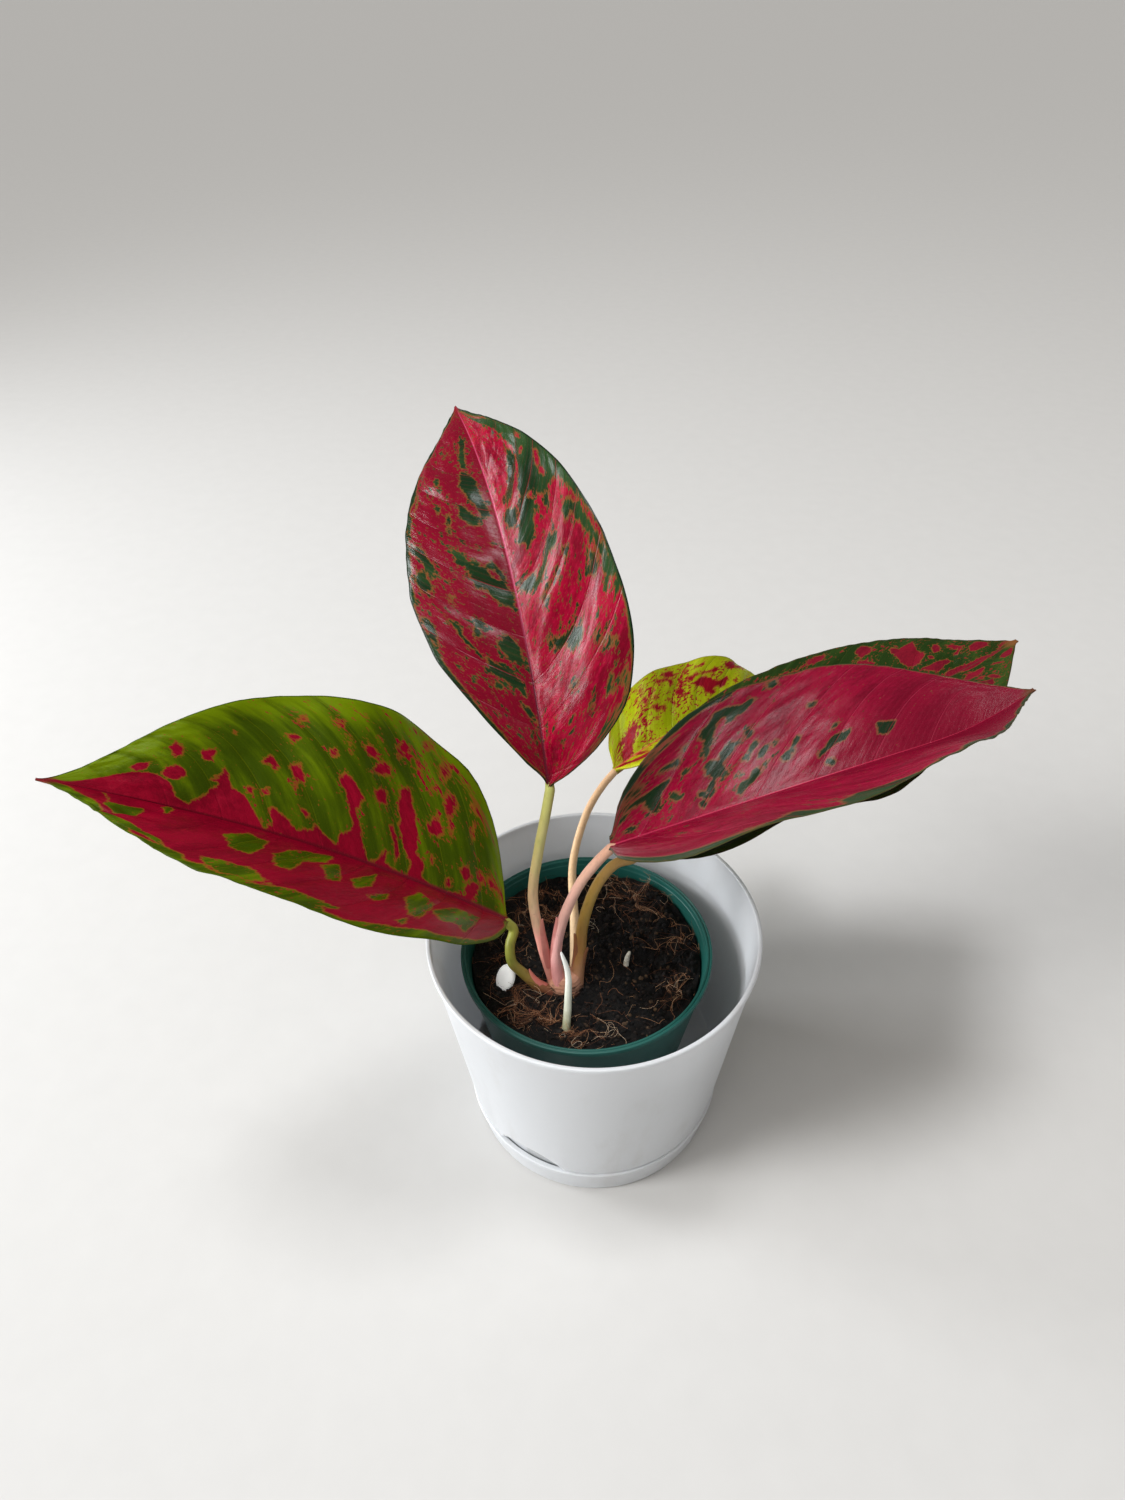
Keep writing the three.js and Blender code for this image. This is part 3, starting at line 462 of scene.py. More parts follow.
            (23, -39.5), (21, -42), (19, -43.5), (18, -42), (19, -39.5), (20, -37), (22, -34), (23, -31.5),
            (21, -32.5), (17, -37)], [(20, -32.5), (23, -31.5), (24, -30), (25, -27), (24, -27)], [(30.5, -26),
            (30.5, -28.5), (33.5, -28.5), (37, -28.5), (38, -27), (35, -27), (36, -24.5), (35, -23),
            (34.5, -22), (35, -20.5), (37, -19), (42, -15), (40, -15), (36, -16.5), (36, -15), (38, -12.5),
            (40, -9.5), (39, -8), (36, -11), (35, -13.5), (34.5, -16.5), (30.5, -19), (26.5, -23),
            (27.5, -24.5), (30.5, -23), (32.5, -23)], [(31.5, -12.5), (34.5, -11), (37, -9.5), (38, -9.5),
            (38, -8), (35, -9.5), (32.5, -11)], [(34.5, -32.5), (36, -32.5), (40, -30), (40, -28.5),
            (39, -28.5)], [(44, -23), (44, -24.5), (44, -26), (46.5, -24.5), (47.5, -23), (46.5, -22),
            (46.5, -20.5)], [(52.5, -17.5), (50.5, -20.5), (51.5, -22), (53.5, -22), (54.5, -20.5), (54.5, -19),
            (54.5, -17.5)], [(50.5, -8), (51.5, -9.5), (54.5, -9.5), (53.5, -12.5), (54.5, -13.5), (59, -11),
            (58, -9.5), (57, -8), (56, -7), (55, -5.5), (55, -4), (52.5, -5.5)], [(64, -15), (65, -16.5),
            (66.5, -16.5), (69.5, -13.5), (69.5, -12.5), (67.5, -12.5), (65.5, -13.5)], [(65.5, -19), (65, -22),
            (67.5, -20.5), (68.5, -19), (67.5, -17.5)], [(66.5, -16.5), (66.5, -17.5), (67.5, -17.5),
            (69.5, -15)], [(83, -11), (85, -12.5), (85, -15), (85.5, -16.5), (88.5, -17.5), (92.5, -17.5),
            (93.5, -16.5), (93.5, -13.5), (90.5, -13.5), (88.5, -12.5), (86.5, -11), (85, -9.5)], [(89.5, -7),
            (91.5, -7), (94.5, -5.5), (94.5, -4), (90.5, -5.5)], [(6.5, -52), (6.5, -53), (7.5, -54.5),
            (10.5, -54.5), (13.5, -54.5), (16, -54.5), (18, -54.5), (23, -54.5), (19, -54.5), (17, -54.5),
            (14.5, -54.5), (14.5, -52), (13.5, -52), (11.5, -52), (9.5, -52), (8.5, -50.5)], [(25.5, -53),
            (29.5, -52), (32.5, -50.5), (31.5, -49), (28.5, -50.5)], [(58, -35.5), (62, -35.5), (63, -34),
            (60, -34)], [(43, -20.5), (45, -20.5), (46.5, -20.5), (48.5, -17.5), (45, -19)], [(57, -13.5),
            (57, -15), (59, -15), (59, -13.5), (59, -12.5)], [(82, -20.5), (82, -22), (84, -22), (84, -20.5)],
            [(5.5, -13.5), (6.5, -12.5), (8.5, -9.5), (7.5, -8)], [(0, 45), (1, 39.5), (0, 47.5), (0, 46.5)],
            [(35, -7), (36, -8), (39, -5.5), (39, -4)], [(45, -13.5), (46.5, -13.5), (49.5, -12.5),
            (46.5, -12.5)], [(54.5, -22), (54.5, -23), (57, -22), (57, -20.5)], [(17, -42), (17, -43.5),
            (18, -42), (18, -41)], [(6.5, -47.5), (6.5, -49), (8.5, -46.5), (7.5, -46.5)], [(10.5, -38),
            (10.5, -39.5), (11.5, -38), (11.5, -37)], [(3, -39.5), (3, -41), (4, -38), (4, -37)],
            [(105.5, -17.5), (114.5, -16.5), (115.5, -13.5), (114.5, -11), (109.5, -12.5)], [(0, -47.5),
            (0, -50.5), (1, -43.5), (0, -46.5)], [(2, 52), (5, 49), (7.5, 49), (9.5, 54.5), (21, 54.5),
            (31.5, 54.5), (42, 54.5), (65.5, 54.5), (148.5, 54.5), (183, 53), (127.5, 54.5), (67.5, 54.5),
            (43, 54.5), (30.5, 54.5), (21, 54.5), (7.5, 54.5), (4, 52)], [(7.5, 54.5), (13.5, 50.5), (17, 49),
            (17, 52), (19, 52), (17, 53), (14.5, 53), (10.5, 54.5), (9.5, 54.5), (8.5, 54.5)], [(27.5, 49),
            (36, 46.5), (39, 47.5), (44, 49), (44, 53), (36, 54.5), (27.5, 54.5), (22, 54.5)]],
    },
    "back": {
        "red": [[(113.5, -42), (110, -45), (111.5, -49), (116.5, -47.5), (120, -45), (122, -41), (118.5, -38),
            (115.5, -39.5)], [(130.5, -43.5), (139, -38), (142, -43.5), (144, -45), (151.5, -34.5), (158, -29),
            (156, -20), (149.5, -20), (144, -25), (140, -31.5), (135.5, -35.5)], [(158, -41), (162, -39.5),
            (166.5, -30.5), (163, -27.5), (160, -33)], [(159, -26.5), (163, -25), (164.5, -21), (161, -22.5)],
            [(157, -16), (161, -17), (166.5, -18.5), (171.5, -18.5), (175, -14.5), (170.5, -12), (167.5, -8),
            (162, -12)], [(170.5, -5.5), (177, -6.5), (183.5, -4), (189.5, -5.5), (196, -2.5), (200.5, -4),
            (204.5, -53), (212, -53), (201.5, 0), (192, 0), (181.5, 0), (170.5, 0), (165.5, 0), (167.5, 0)],
            [(182.5, -30.5), (185.5, -43.5), (193, -41), (195, -26.5), (188.5, -18.5), (184.5, -20)],
            [(78.5, -46), (82.5, -47.5), (85, -50), (90, -50), (93.5, -46), (90, -45), (85, -45), (80.5, -45)],
            [(166.5, 29), (168.5, 34.5), (162, 39.5), (158, 37)], [(115.5, -37), (122, -35.5), (128.5, -31.5),
            (127, -29), (118.5, -33)], [(176, -26.5), (177, -35.5), (179, -31.5), (178, -20), (175, -21)],
            [(54, -47.5), (63.5, -46), (72, -46), (81.5, -43.5), (69, -43.5), (60.5, -45)]],
    },
    "small": {
        "red": [[(24.5, -29.5), (27.5, -30.5), (31, -29), (33, -27), (31.5, -26.5), (27.5, -27), (26.5, -27)],
            [(21, -28), (23.5, -27), (26.5, -26.5), (29.5, -26.5), (32.5, -25), (34.5, -22.5), (32, -22.5),
            (28.5, -25), (24, -25.5), (23, -25.5)], [(36.5, -25), (38.5, -25), (40.5, -21.5), (45, -19),
            (46, -17.5), (41, -20), (37.5, -22.5)], [(42.5, -24), (45.5, -24), (47.5, -25), (50.5, -23),
            (48.5, -22.5), (47.5, -20.5), (45.5, -20.5), (43.5, -21.5)], [(48.5, -19), (51.5, -21.5),
            (56.5, -20), (62, -18), (64.5, -16.5), (66, -17.5), (68.5, -19), (70.5, -17.5), (70.5, -13),
            (67.5, -12.5), (65, -14), (63.5, -13), (65, -10.5), (61.5, -10), (58, -12.5), (54.5, -15.5),
            (51.5, -16.5)], [(51, -24), (56, -24), (56.5, -25.5), (59.5, -25), (59.5, -23), (59, -21.5),
            (55.5, -22.5), (51.5, -22.5)], [(61.5, -27), (62.5, -30.5), (66, -33), (69.5, -28), (72, -33),
            (74.5, -29), (70.5, -25.5), (68.5, -24), (64, -25)], [(37, -19), (40, -19), (43, -17.5),
            (42.5, -15.5), (45, -15.5), (45.5, -14), (43, -14), (40.5, -15.5), (38, -16.5)], [(22, -18),
            (26, -17.5), (27.5, -15.5), (31, -15), (32.5, -12.5), (31.5, -11.5), (29, -13), (27, -14),
            (23.5, -16.5)], [(16.5, -25), (18.5, -24), (19, -21.5), (21, -19), (18.5, -20.5), (16.5, -23)],
            [(23, -21.5), (26, -20), (25, -19), (23, -20.5)], [(12.5, -27), (14, -25.5), (15, -24),
            (13.5, -25)], [(10, -31.5), (11.5, -30.5), (12.5, -29), (10, -30.5)], [(32.5, -16.5), (35.5, -15),
            (34.5, -15)], [(5.5, -12.5), (10, -7.5), (11.5, -1), (8.5, 0), (5.5, -5)], [(5.5, -18), (8, -16.5),
            (10.5, -18), (11.5, -16.5), (10, -14), (7.5, -13), (5.5, -15.5)], [(45.5, -29), (47.5, -29.5),
            (50, -28), (49, -27), (43.5, -28)], [(37, -29), (38.5, -29.5), (41, -28), (40, -27)], [(13.5, -29),
            (15.5, -27), (16, -26.5), (14, -27)], [(26, -11.5), (29.5, -10.5), (30, -10), (27, -10.5)],
            [(19.5, -15), (21.5, -13), (21, -12.5), (19.5, -14)], [(16, -19), (17, -18), (18, -16.5),
            (16.5, -17.5)], [(37.5, -13), (38.5, -13), (38.5, -12.5), (37.5, -12.5)], [(30, -20), (32, -19),
            (31.5, -19), (31, -19)], [(20.5, -24), (21.5, -23), (21, -23), (20.5, -23)], [(21, -25),
            (23.5, -24), (23, -23)], [(1, 0), (5, 0), (8.5, 10), (11.5, 14), (8, 18), (4.5, 18), (2, 12.5),
            (0.5, 8)], [(62.5, -22.5), (64.5, -21.5), (64.5, -20.5), (64, -20.5)], [(74, -16.5), (76.5, -15.5),
            (76.5, -14), (74.5, -15)], [(6, -12.5), (8, -10.5), (8, -8), (6, -10.5)], [(57, -21.5),
            (60.5, -20.5), (61, -20), (58.5, -20)], [(32.5, -28), (35, -28), (35, -27), (33, -27)], [(28.5, 0),
            (31, 0), (27.5, 2.5), (28.5, 0)]],
    },
}
ground = {"upright": ("red", "red"), "left": ("red", "green"), "front": ("red", "red"), "back": ("green", "green"),
          "small": ("green", "green")}
mirrored = {"back": 9, "small": 5}  # mm that the mirrored outlines are shifted along


def outlineAt(s):  # a smooth curve through the outline's points that never overshoots them
    x, y = np.array(bladeForm["outline"]).T
    slope = np.diff(y) / np.diff(x)
    m = np.zeros_like(x)
    for k in range(1, len(x) - 1):
        if slope[k - 1] * slope[k] > 0:
            a = 2 * (x[k + 1] - x[k]) + (x[k] - x[k - 1])
            b = (x[k + 1] - x[k]) + 2 * (x[k] - x[k - 1])
            m[k] = (a + b) / (a / slope[k - 1] + b / slope[k])
    k = np.clip(np.searchsorted(x, s, side="right") - 1, 0, len(x) - 2)
    h = x[k + 1] - x[k]
    t = np.clip((s - x[k]) / h, 0, 1)
    ends = y[k] * (1 + 2 * t) * (1 - t) ** 2 + y[k + 1] * t * t * (3 - 2 * t)
    return ends + h * (m[k] * t * (1 - t) ** 2 - m[k + 1] * t * t * (1 - t))


def halfWidth(leaf, sign, s):
    place = np.clip(s + sign * leaf["skew"] * 4 * s * (1 - s), 0, 1)
    low, high = leaf["taper"]
    share = np.maximum(outlineAt(place), 1e-4) ** (low + (high - low) * place)
    return leaf["width"] / 2 * share * (1 - sign * leaf["unequal"])


def midribFrames(leaf, steps=240):
    k = np.linspace(0, 1, steps + 1)
    azimuth = np.radians(leaf["azimuth"] + leaf["sweep"] * k)
    pitch = np.radians(leaf["pitch"] - leaf["droop"] * k ** 1.2 + leaf["lift"] * ease(0.7, 1, k))
    along = np.stack([np.cos(pitch) * np.cos(azimuth), np.cos(pitch) * np.sin(azimuth), np.sin(pitch)], 1)
    moved = np.cumsum((along[1:] + along[:-1]) / 2, 0) * leaf["length"] / steps
    place = np.array(leaf["base"], float) + np.vstack([np.zeros(3), moved])
    level = unit(np.cross(along, (0, 0, 1)))
    turn = -np.radians(leaf["roll"] + leaf["twist"] * k)[:, None]
    across = level * np.cos(turn) + np.cross(along, level) * np.sin(turn)
    return k, place, across, np.cross(across, along)


def bladeSurface(leaf, sign, s, v, frames):
    k, place, across, up = frames
    fold, opened, curl, swing, start, period = leaf["right" if sign > 0 else "left"]
    raised = np.radians(fold + opened * (s - 0.4) + swing * np.cos(2 * np.pi * (s - start) / period))
    roll = np.radians(curl)
    reach = halfWidth(leaf, sign, s)
    out = reach * (np.sin(raised) - np.sin(raised - roll * v)) / roll
    rise = reach * (np.cos(raised - roll * v) - np.cos(raised)) / roll
    at = lambda line: np.stack([np.interp(s, k, line[:, c]) for c in range(3)], -1)
    return at(place) + at(unit(across)) * (sign * out)[..., None] + at(unit(up)) * rise[..., None]


def veinPlaces(leaf, sign, q, v):  # how far along the midrib each side vein has come
    s = np.repeat(q[:, None], len(v), 1)
    start = ease(0, 0.06, q)
    lean, bow = leaf.get("lean", (0.5, 0.9))
    for j in range(1, len(v)):
        now = s[:, j - 1]
        for part in range(4):
            out = v[j - 1] + (v[j] - v[j - 1]) * (part + 0.5) / 4
            slope = halfWidth(leaf, sign, np.clip(now, 0, 1)) / leaf["length"]
            now = now + start * slope * (lean + bow * out) * (v[j] - v[j - 1]) / 4
        s[:, j] = np.minimum(now, 1)
    return s


def drawnField(outlines, x, y):  # mm inside the nearest outline, or as a negative number outside it
    best = np.full(x.shape, -3.0)
    for outline in outlines:
        ends = np.array(outline, float)
        away = np.full(x.shape, 99.0)
        inside = np.zeros(x.shape, bool)
        for (x1, y1), (x2, y2) in zip(ends, np.roll(ends, -1, axis=0)):
            t = ((x - x1) * (x2 - x1) + (y - y1) * (y2 - y1)) / max((x2 - x1) ** 2 + (y2 - y1) ** 2, 1e-9)
            t = np.clip(t, 0, 1)
            away = np.minimum(away, np.hypot(x - x1 - t * (x2 - x1), y - y1 - t * (y2 - y1)))
            if y1 != y2:
                inside ^= ((y1 > y) != (y2 > y)) & (x < (x2 - x1) * (y - y1) / (y2 - y1) + x1)
        best = np.maximum(best, np.where(inside, away, -away))
    return np.clip(best, -3, 3)


def markField(name, sign, x, y):  # mm inside the green, or as a negative number inside the red
    drawn = patches[name]
    green, red = (drawnField(drawn.get(kind, []), x, y) for kind in ("green", "red"))
    if name in mirrored:
        red = np.maximum(red, drawnField(drawn["red"], x - mirrored[name], -y))
    base = ground[name][0 if sign < 0 else 1]
    return np.minimum(np.maximum(-3.0 if base == "red" else 3.0, green), -red)


def halfBlade(name, number, sign, frames):  # the points and fields of the left (-1) or the right (1) half
    leaf = leaves[name]
    q = np.linspace(0, 1, bladeForm["rows"])
    v = np.linspace(0, 1, bladeForm["columns"]) ** 1.25
    s = veinPlaces(leaf, sign, q, v)
    qq, vv = np.meshgrid(q, v, indexing="ij")
    veins, phase, pleat = leaf["veins"]
    wave = np.abs(np.sin(np.pi * (qq - phase) * veins)) ** 0.6 - 0.6
    calm = 1 - ease(*leaf.get("smooth", (0.8, 1)), qq)
    fade = ease(0, 0.25, vv) * (1 - 0.75 * ease(0.6, 1, vv)) * calm * ease(0, 0.1, qq)
    count, start, height = leaf["crease"][0 if sign < 0 else 1]
    crease = height * np.sin(2 * np.pi * (qq - start) * count) * ease(0.02, 0.3, vv)
    crease = crease * (1 - 0.8 * ease(0.55, 1, vv))
    crease = crease * calm * (1 - ease(0.75, 0.98, qq)) * ease(0, 0.08, qq)
    flow = np.stack([qq * leaf["length"] / 11, sign * vv * leaf["width"] / 18, np.full_like(qq, 9 * number)], -1)
    quilt = wobble(flow) * 0.5 * ease(0.02, 0.15, vv) + wobble(flow * 2.3, 1, 5) * 0.16 * ease(0.02, 0.1, vv)
    quilt = quilt * (1 - 0.8 * ease(0.75, 0.95, qq)) * (0.4 + 0.6 * calm)
    long = np.stack([qq * leaf["length"] / 5.5, sign * vv * leaf["width"] / 42, np.full_like(qq, 4 * number)], -1)
    pucker = wobble(long) * leaf["pucker"] * ease(0.02, 0.14, vv) * (0.25 + 0.75 * calm)
    pucker = pucker * (leaf.get("leftPucker", 1) if sign < 0 else 1)
    edge = wobble(flow * 1.7, 1, 11) * 0.5 * ease(0.75, 1, vv)
    reach = halfWidth(leaf, sign, s)
    x, y = qq * leaf["length"], sign * vv * leaf["width"] / 2
    marks = markField(name, sign, x, y)
    return {
        "place": bladeSurface(leaf, sign, s, vv, frames),
        "relief": wave * pleat * fade + crease + quilt + pucker + edge,
        "s": s, "along": x, "out": y, "marks": marks,
        "rib": vv * reach, "margin": (1 - vv) * reach, "share": vv,
        "ridge": -np.abs(((qq - phase) * veins + 0.5) % 1 - 0.5) / veins * leaf["length"],
    }


def bladeFaces(rows, wide):  # the skin round the blade, closed at its base and its tip
    around = 2 * wide + 2
    faces = gridFaces(rows, around, closed=True)
    last = (rows - 1) * around
    for j in range(wide - 1):
        quad = (j, j + 1, 2 * wide - j - 1, 2 * wide - j)
        faces.append(quad[::-1])
        faces.append(tuple(last + k for k in quad))
    for a, b, c in ((wide - 1, wide, wide + 1), (0, 2 * wide, 2 * wide + 1)):
        flip = 1 if a else -1
        faces.append((a, b, c)[::-flip])
        faces.append(tuple(last + k for k in (a, b, c))[::flip])
    return faces


def bladePiece(name, number):
    leaf = leaves[name]
    rows, columns = bladeForm["rows"], bladeForm["columns"]
    frames = midribFrames(leaf)
    halves = [halfBlade(name, number, sign, frames) for sign in (-1, 1)]
    whole = {key: np.concatenate([halves[0][key][:, ::-1], halves[1][key][:, 1:]], 1) for key in halves[0]}
    place = whole["place"]
    steps = np.gradient(place, axis=0), np.gradient(place, axis=1)
    normal = np.cross(steps[1], steps[0])
    for i in range(1, rows):  # points that meet at the tip have no normal of their own
        weak = np.linalg.norm(normal[i], axis=-1) < 1e-6
        normal[i, weak] = normal[i - 1, weak]
    normal[-1] = normal[-2]
    normal = unit(normal)
    s, rib = whole["s"], whole["rib"]
    middle, rim = bladeForm["thickness"], bladeForm["rimThickness"]
    thick = middle + (rim - middle) * ease(0.8, 1, whole["share"])
    keel = (bladeForm["keel"] * (1 - s) ** 0.8 + 0.2) * np.exp(-(rib / 1.5) ** 2)
    backVein = bladeForm["veinBack"] * np.exp(-(whole["ridge"] / 0.6) ** 2) * ease(0, 0.3, whole["margin"] / 20)
    ridge = bladeForm["ridge"] * (1 - s) ** 0.7 * np.exp(-(rib / 1.0) ** 2)
    top = place + normal * (whole["relief"] + thick / 2 + ridge)[..., None]
    under = place + normal * (whole["relief"] - thick / 2 - keel - backVein)[..., None]
    rims = []
    for edge, inner in ((-1, -2), (0, 1)):
        outwards = unit(place[:, edge] - place[:, inner] + 1e-9)
        rims.append(((top[:, edge] + under[:, edge]) / 2 + outwards * 0.12)[:, None])
    ring = np.concatenate([top, rims[0], under[:, ::-1], rims[1]], 1)
    around = lambda field: np.concatenate([field, field[:, -1:], field[:, ::-1], field[:, :1]], 1)
    wide = 2 * columns - 1
    below = np.concatenate([np.zeros((rows, wide)), np.ones((rows, wide + 2))], 1)
    below[:, [wide, -1]] = 0.5
    fields = {key: around(whole[key]) for key in ("along", "out", "marks", "rib", "margin")}
    fields["ribWidth"] = around(leaf.get("rib", 0.85) * (1 - s) ** 0.6 + 0.2)
    fields["under"] = below
    piece = meshPiece("leaf_" + name, ring, bladeFaces(rows, wide), bladePaint(name), fields=fields)
    return placed(piece, "blade_" + name)


# "tooth" is how deep the patches' edges are frayed; "band" how far green reaches in from the left and the
# right margin, in mm; "flecks" the colour of the small flecks, how few there are, how much fewer they get
# toward the tip, how fine they are and how short; "swell" how far the patches grow past their outlines, in
# mm, and "trim" how wide their tan edge is; "dim" how much painted shade darkens the left half and how much
# darker the far end is; "shine" the strength of the sheen and "satin" how far it spreads
leafLooks = {
    "upright": {"red": (150, 1, 40), "deep": (106, 1, 26), "pale": (176, 16, 64), "green": (14, 38, 16),
                "light": (34, 62, 28), "line": (108, 74, 32), "rib": (180, 66, 98), "ribLow": (86, 20, 34),
                "vein": (168, 22, 50), "margin": (12, 30, 16), "tip": (120, 16, 30), "under": (130, 60, 66),
                "tooth": 2.3, "band": (2.6, 1.6), "flecks": ("green", 0.616, 0.0, 1.0, 0.3), "dim": (0.82, 0),
                "shine": 0.19, "satin": 0.14},
    "left": {"red": (156, 7, 41), "deep": (126, 5, 32), "pale": (168, 20, 50), "green": (60, 80, 1),
             "light": (112, 136, 2), "line": (140, 98, 22), "rib": (112, 8, 30), "ribLow": (122, 26, 42),
             "vein": (116, 128, 8), "margin": (72, 92, 6), "tip": (132, 36, 40), "under": (110, 110, 56),
             "tooth": 1.8, "band": (4.5, 0.3), "flecks": ("red", 0.61, 0.14, 1.1, 0.3), "dim": (0.2, 0), "shine": 0.1,
             "satin": 0.22},
    # on the front leaf the light pink "rib", "ribLow" and "veinRed" are painted highlight along the midrib and the
    # side veins
    "front": {"red": (138, 1, 42), "deep": (108, 1, 31), "pale": (152, 12, 58), "green": (20, 42, 22),
              "light": (42, 62, 36), "line": (118, 74, 46), "rib": (184, 44, 76), "ribLow": (180, 48, 80),
              "vein": (154, 14, 50), "veinRed": (186, 60, 88), "margin": (60, 60, 26), "tip": (96, 56, 36),
              "under": (112, 44, 48), "tooth": 1.2, "band": (0.6, 2.6),
              "flecks": ("green", 0.65, 0.14, 0.85, 0.3), "swell": 0.3, "dim": (0, 0.7),
              "shine": 0.24, "satin": 0.17},
    # the back leaf's "under" colour is painted shade: dark brown for the shade it lies in below the front leaf
    "back": {"red": (124, 18, 37), "deep": (100, 14, 30), "pale": (142, 36, 46), "green": (30, 50, 14),
             "light": (48, 72, 24), "line": (120, 80, 34), "rib": (96, 50, 42), "ribLow": (110, 60, 44),
             "vein": (66, 84, 30), "margin": (60, 52, 24), "tip": (120, 76, 40), "under": (48, 40, 26),
             "tooth": 1.5, "band": (1.0, 1.0), "flecks": ("red", 0.63, 0.0, 1.0, 0.3),
             "trim": 0.38, "dim": (0, 0), "shine": 0.1, "satin": 0.2},
    "small": {"red": (150, 12, 34), "deep": (122, 8, 26), "pale": (170, 44, 44), "green": (150, 162, 8),
              "light": (184, 192, 28), "line": (158, 110, 30), "rib": (180, 100, 50), "ribLow": (190, 80, 60),
              "vein": (180, 186, 50), "margin": (140, 136, 30), "tip": (150, 130, 30), "under": (160, 162, 60),
              "tooth": 1.9, "band": (0.3, 0.3), "flecks": ("red", 0.605, 0.0, 1.15, 0.62),
              "dim": (0, 0), "shine": 0.1, "satin": 0.2},
}


def bladePaint(name):
    look = {key: colour(*value) if np.size(value) == 3 else value for key, value in leafLooks[name].items()}
    leaf = leaves[name]
    veins, phase = leaf["veins"][:2]
    paint = Paint("leaf_" + name)
    fields = ("along", "out", "marks", "rib", "margin", "ribWidth", "under")
    along, out, marks, rib, margin, ribWidth, under = (paint.attribute(key) for key in fields)
    flow = paint.vector(along, out)  # mm along the midrib, mm out along the side veins
    scaled = lambda x, y: paint.vectorMath("MULTIPLY", flow, (x, y, 1))
    rough = paint.noise(scaled(0.32, 0.2), 1, 5, 0.68) - 0.5
    fray = paint.noise(scaled(1.1, 0.6), 1, 3, 0.65) - 0.5
    broad = paint.noise(scaled(0.07, 0.035), 1, 3)
    streak = paint.noise(scaled(0.28, 0.05), 1, 3)
    mottle = paint.noise(scaled(0.5, 0.35), 1, 4, 0.6)
    edge = marks + (rough * 2.4 + fray) * look["tooth"] + look.get("swell", 0)
    left, right = look["band"]
    reach = paint.step(out, -0.5, 0.5) * (right - left) + left
    edge = edge.atLeast(reach * paint.step(paint.noise(scaled(0.05, 0), 1, 2), 0.3, 0.6) - margin + fray * 2.2)
    kind, level, fewer, size, short = look["flecks"]
    near = paint.step(abs(marks), 3, 0.8)
    fleck = paint.noise(scaled(0.42 * size, short * size), 1, 4, 0.62) - level + (broad - 0.5) * 0.4 + near * 0.05
    fleck = (fleck - along * (fewer / leaf["length"])) * 20
    speck = (paint.noise(scaled(0.95, 0.7), 1, 2) - 0.705 + (broad - 0.5) * 0.3 + near * 0.07) * 14
    fleck = fleck.atLeast(speck - along * (fewer * 9 / leaf["length"]))
    edge = edge.atLeast(fleck) if kind == "green" else edge.atMost(fleck * -1)
    toVein = abs(((along / leaf["length"] - phase) * veins + 0.5).fract() - 0.5)
    veinLine = paint.step(toVein * (leaf["length"] / veins), 0.5, 0.1) * paint.step(along / leaf["length"], 0.95, 0.6)
    fine = abs(((along / leaf["length"] - phase) * (veins * 7) + fray * 0.9).fract() - 0.5)
    fineLine = paint.step(fine, 0.2, 0.02)
    red = paint.mix(paint.step(broad * 0.6 + mottle * 0.4, 0.36, 0.6), look["deep"], look["red"])
    # lighter streaks toward the pale colour: partly the leaf's own colour, partly painted sheen
    red = paint.mix(paint.step(streak * 0.5 + mottle * 0.5, 0.5, 0.66) * 0.3, red, look["pale"])
    # painted shade: the left half is mixed toward the deep red for the side away from the light; the far end is made
    # darker too
    leftPaintedShade, dimFar = look["dim"]
    dim = paint.step(out, 1, -1) * leftPaintedShade + paint.step(along / leaf["length"], 0.3, 0.75) * dimFar
    red = paint.mix(dim, red, look["deep"])
    # lighter green along the streaks, between the side veins and near the right margin: partly the leaf's own colour,
    # partly painted sheen on the raised panels and painted glow of light shining through near the margin
    lit = streak * 0.3 + broad * 0.4 + toVein * 0.25 + paint.step(margin, 16, 0) * paint.step(out, -1, 1) * 0.18
    green = paint.mix(paint.step(lit, 0.36, 0.62), look["green"], look["light"])
    body = paint.mix(paint.step(edge, -0.12, 0.16), red, green)
    outline = paint.step(abs(edge + 0.12), look.get("trim", 0.6), 0.15)
    body = paint.mix(outline * 0.75, body, look["line"])
    # on the front leaf the light pink vein colour is a painted highlight along the side veins
    veinTone = paint.mix(paint.step(edge, -0.12, 0.16), look.get("veinRed", look["deep"]), look["vein"])
    body = paint.mix(veinLine * 0.3 + fineLine * 0.04, body, veinTone)
    body = paint.mix(paint.step(margin + fray, 0.7, 0.25), body, look["margin"])
    # on the front leaf the light pink midrib is a painted highlight
    ribTone = paint.mix(paint.step(along / leaf["length"], 0.12, 0.6), look["ribLow"], look["rib"])
    body = paint.mix(paint.step(rib / ribWidth, 1.2, 0.4), body, ribTone)
    body = paint.mix(paint.step(along / leaf["length"] + fray * 0.03, 0.95, 0.985), body, look["tip"])
    # the underside, half toward its own colour; on the back leaf this is painted shade
    back = paint.mix(0.5, body, look["under"])
    body = paint.mix(paint.step(under, 0.6, 0.9), body, back)
    cells = paint.noise(scaled(1.5, 0.9), 1, 4, 0.6)
    height = cells * 0.2 + mottle * 0.5 + streak * 0.12 + veinLine * -0.5 + fineLine * -0.08
    return paint.finish(
        Base_Color=body,
        Roughness=cells * 0.14 + mottle * 0.1 + look["satin"],
        Specular_IOR_Level=look["shine"],
        Normal=paint.bump(height, 0.0005, 0.5),
    )


for number, name in enumerate(leaves, 1):
    bladePiece(name, number)
print("leaf blades are grown")


# Leaf stalks with the free tips of their sheaths, the crown and the young shoot
stalkForm = {"rings": 130, "sides": 28, "ripple": 0.2}
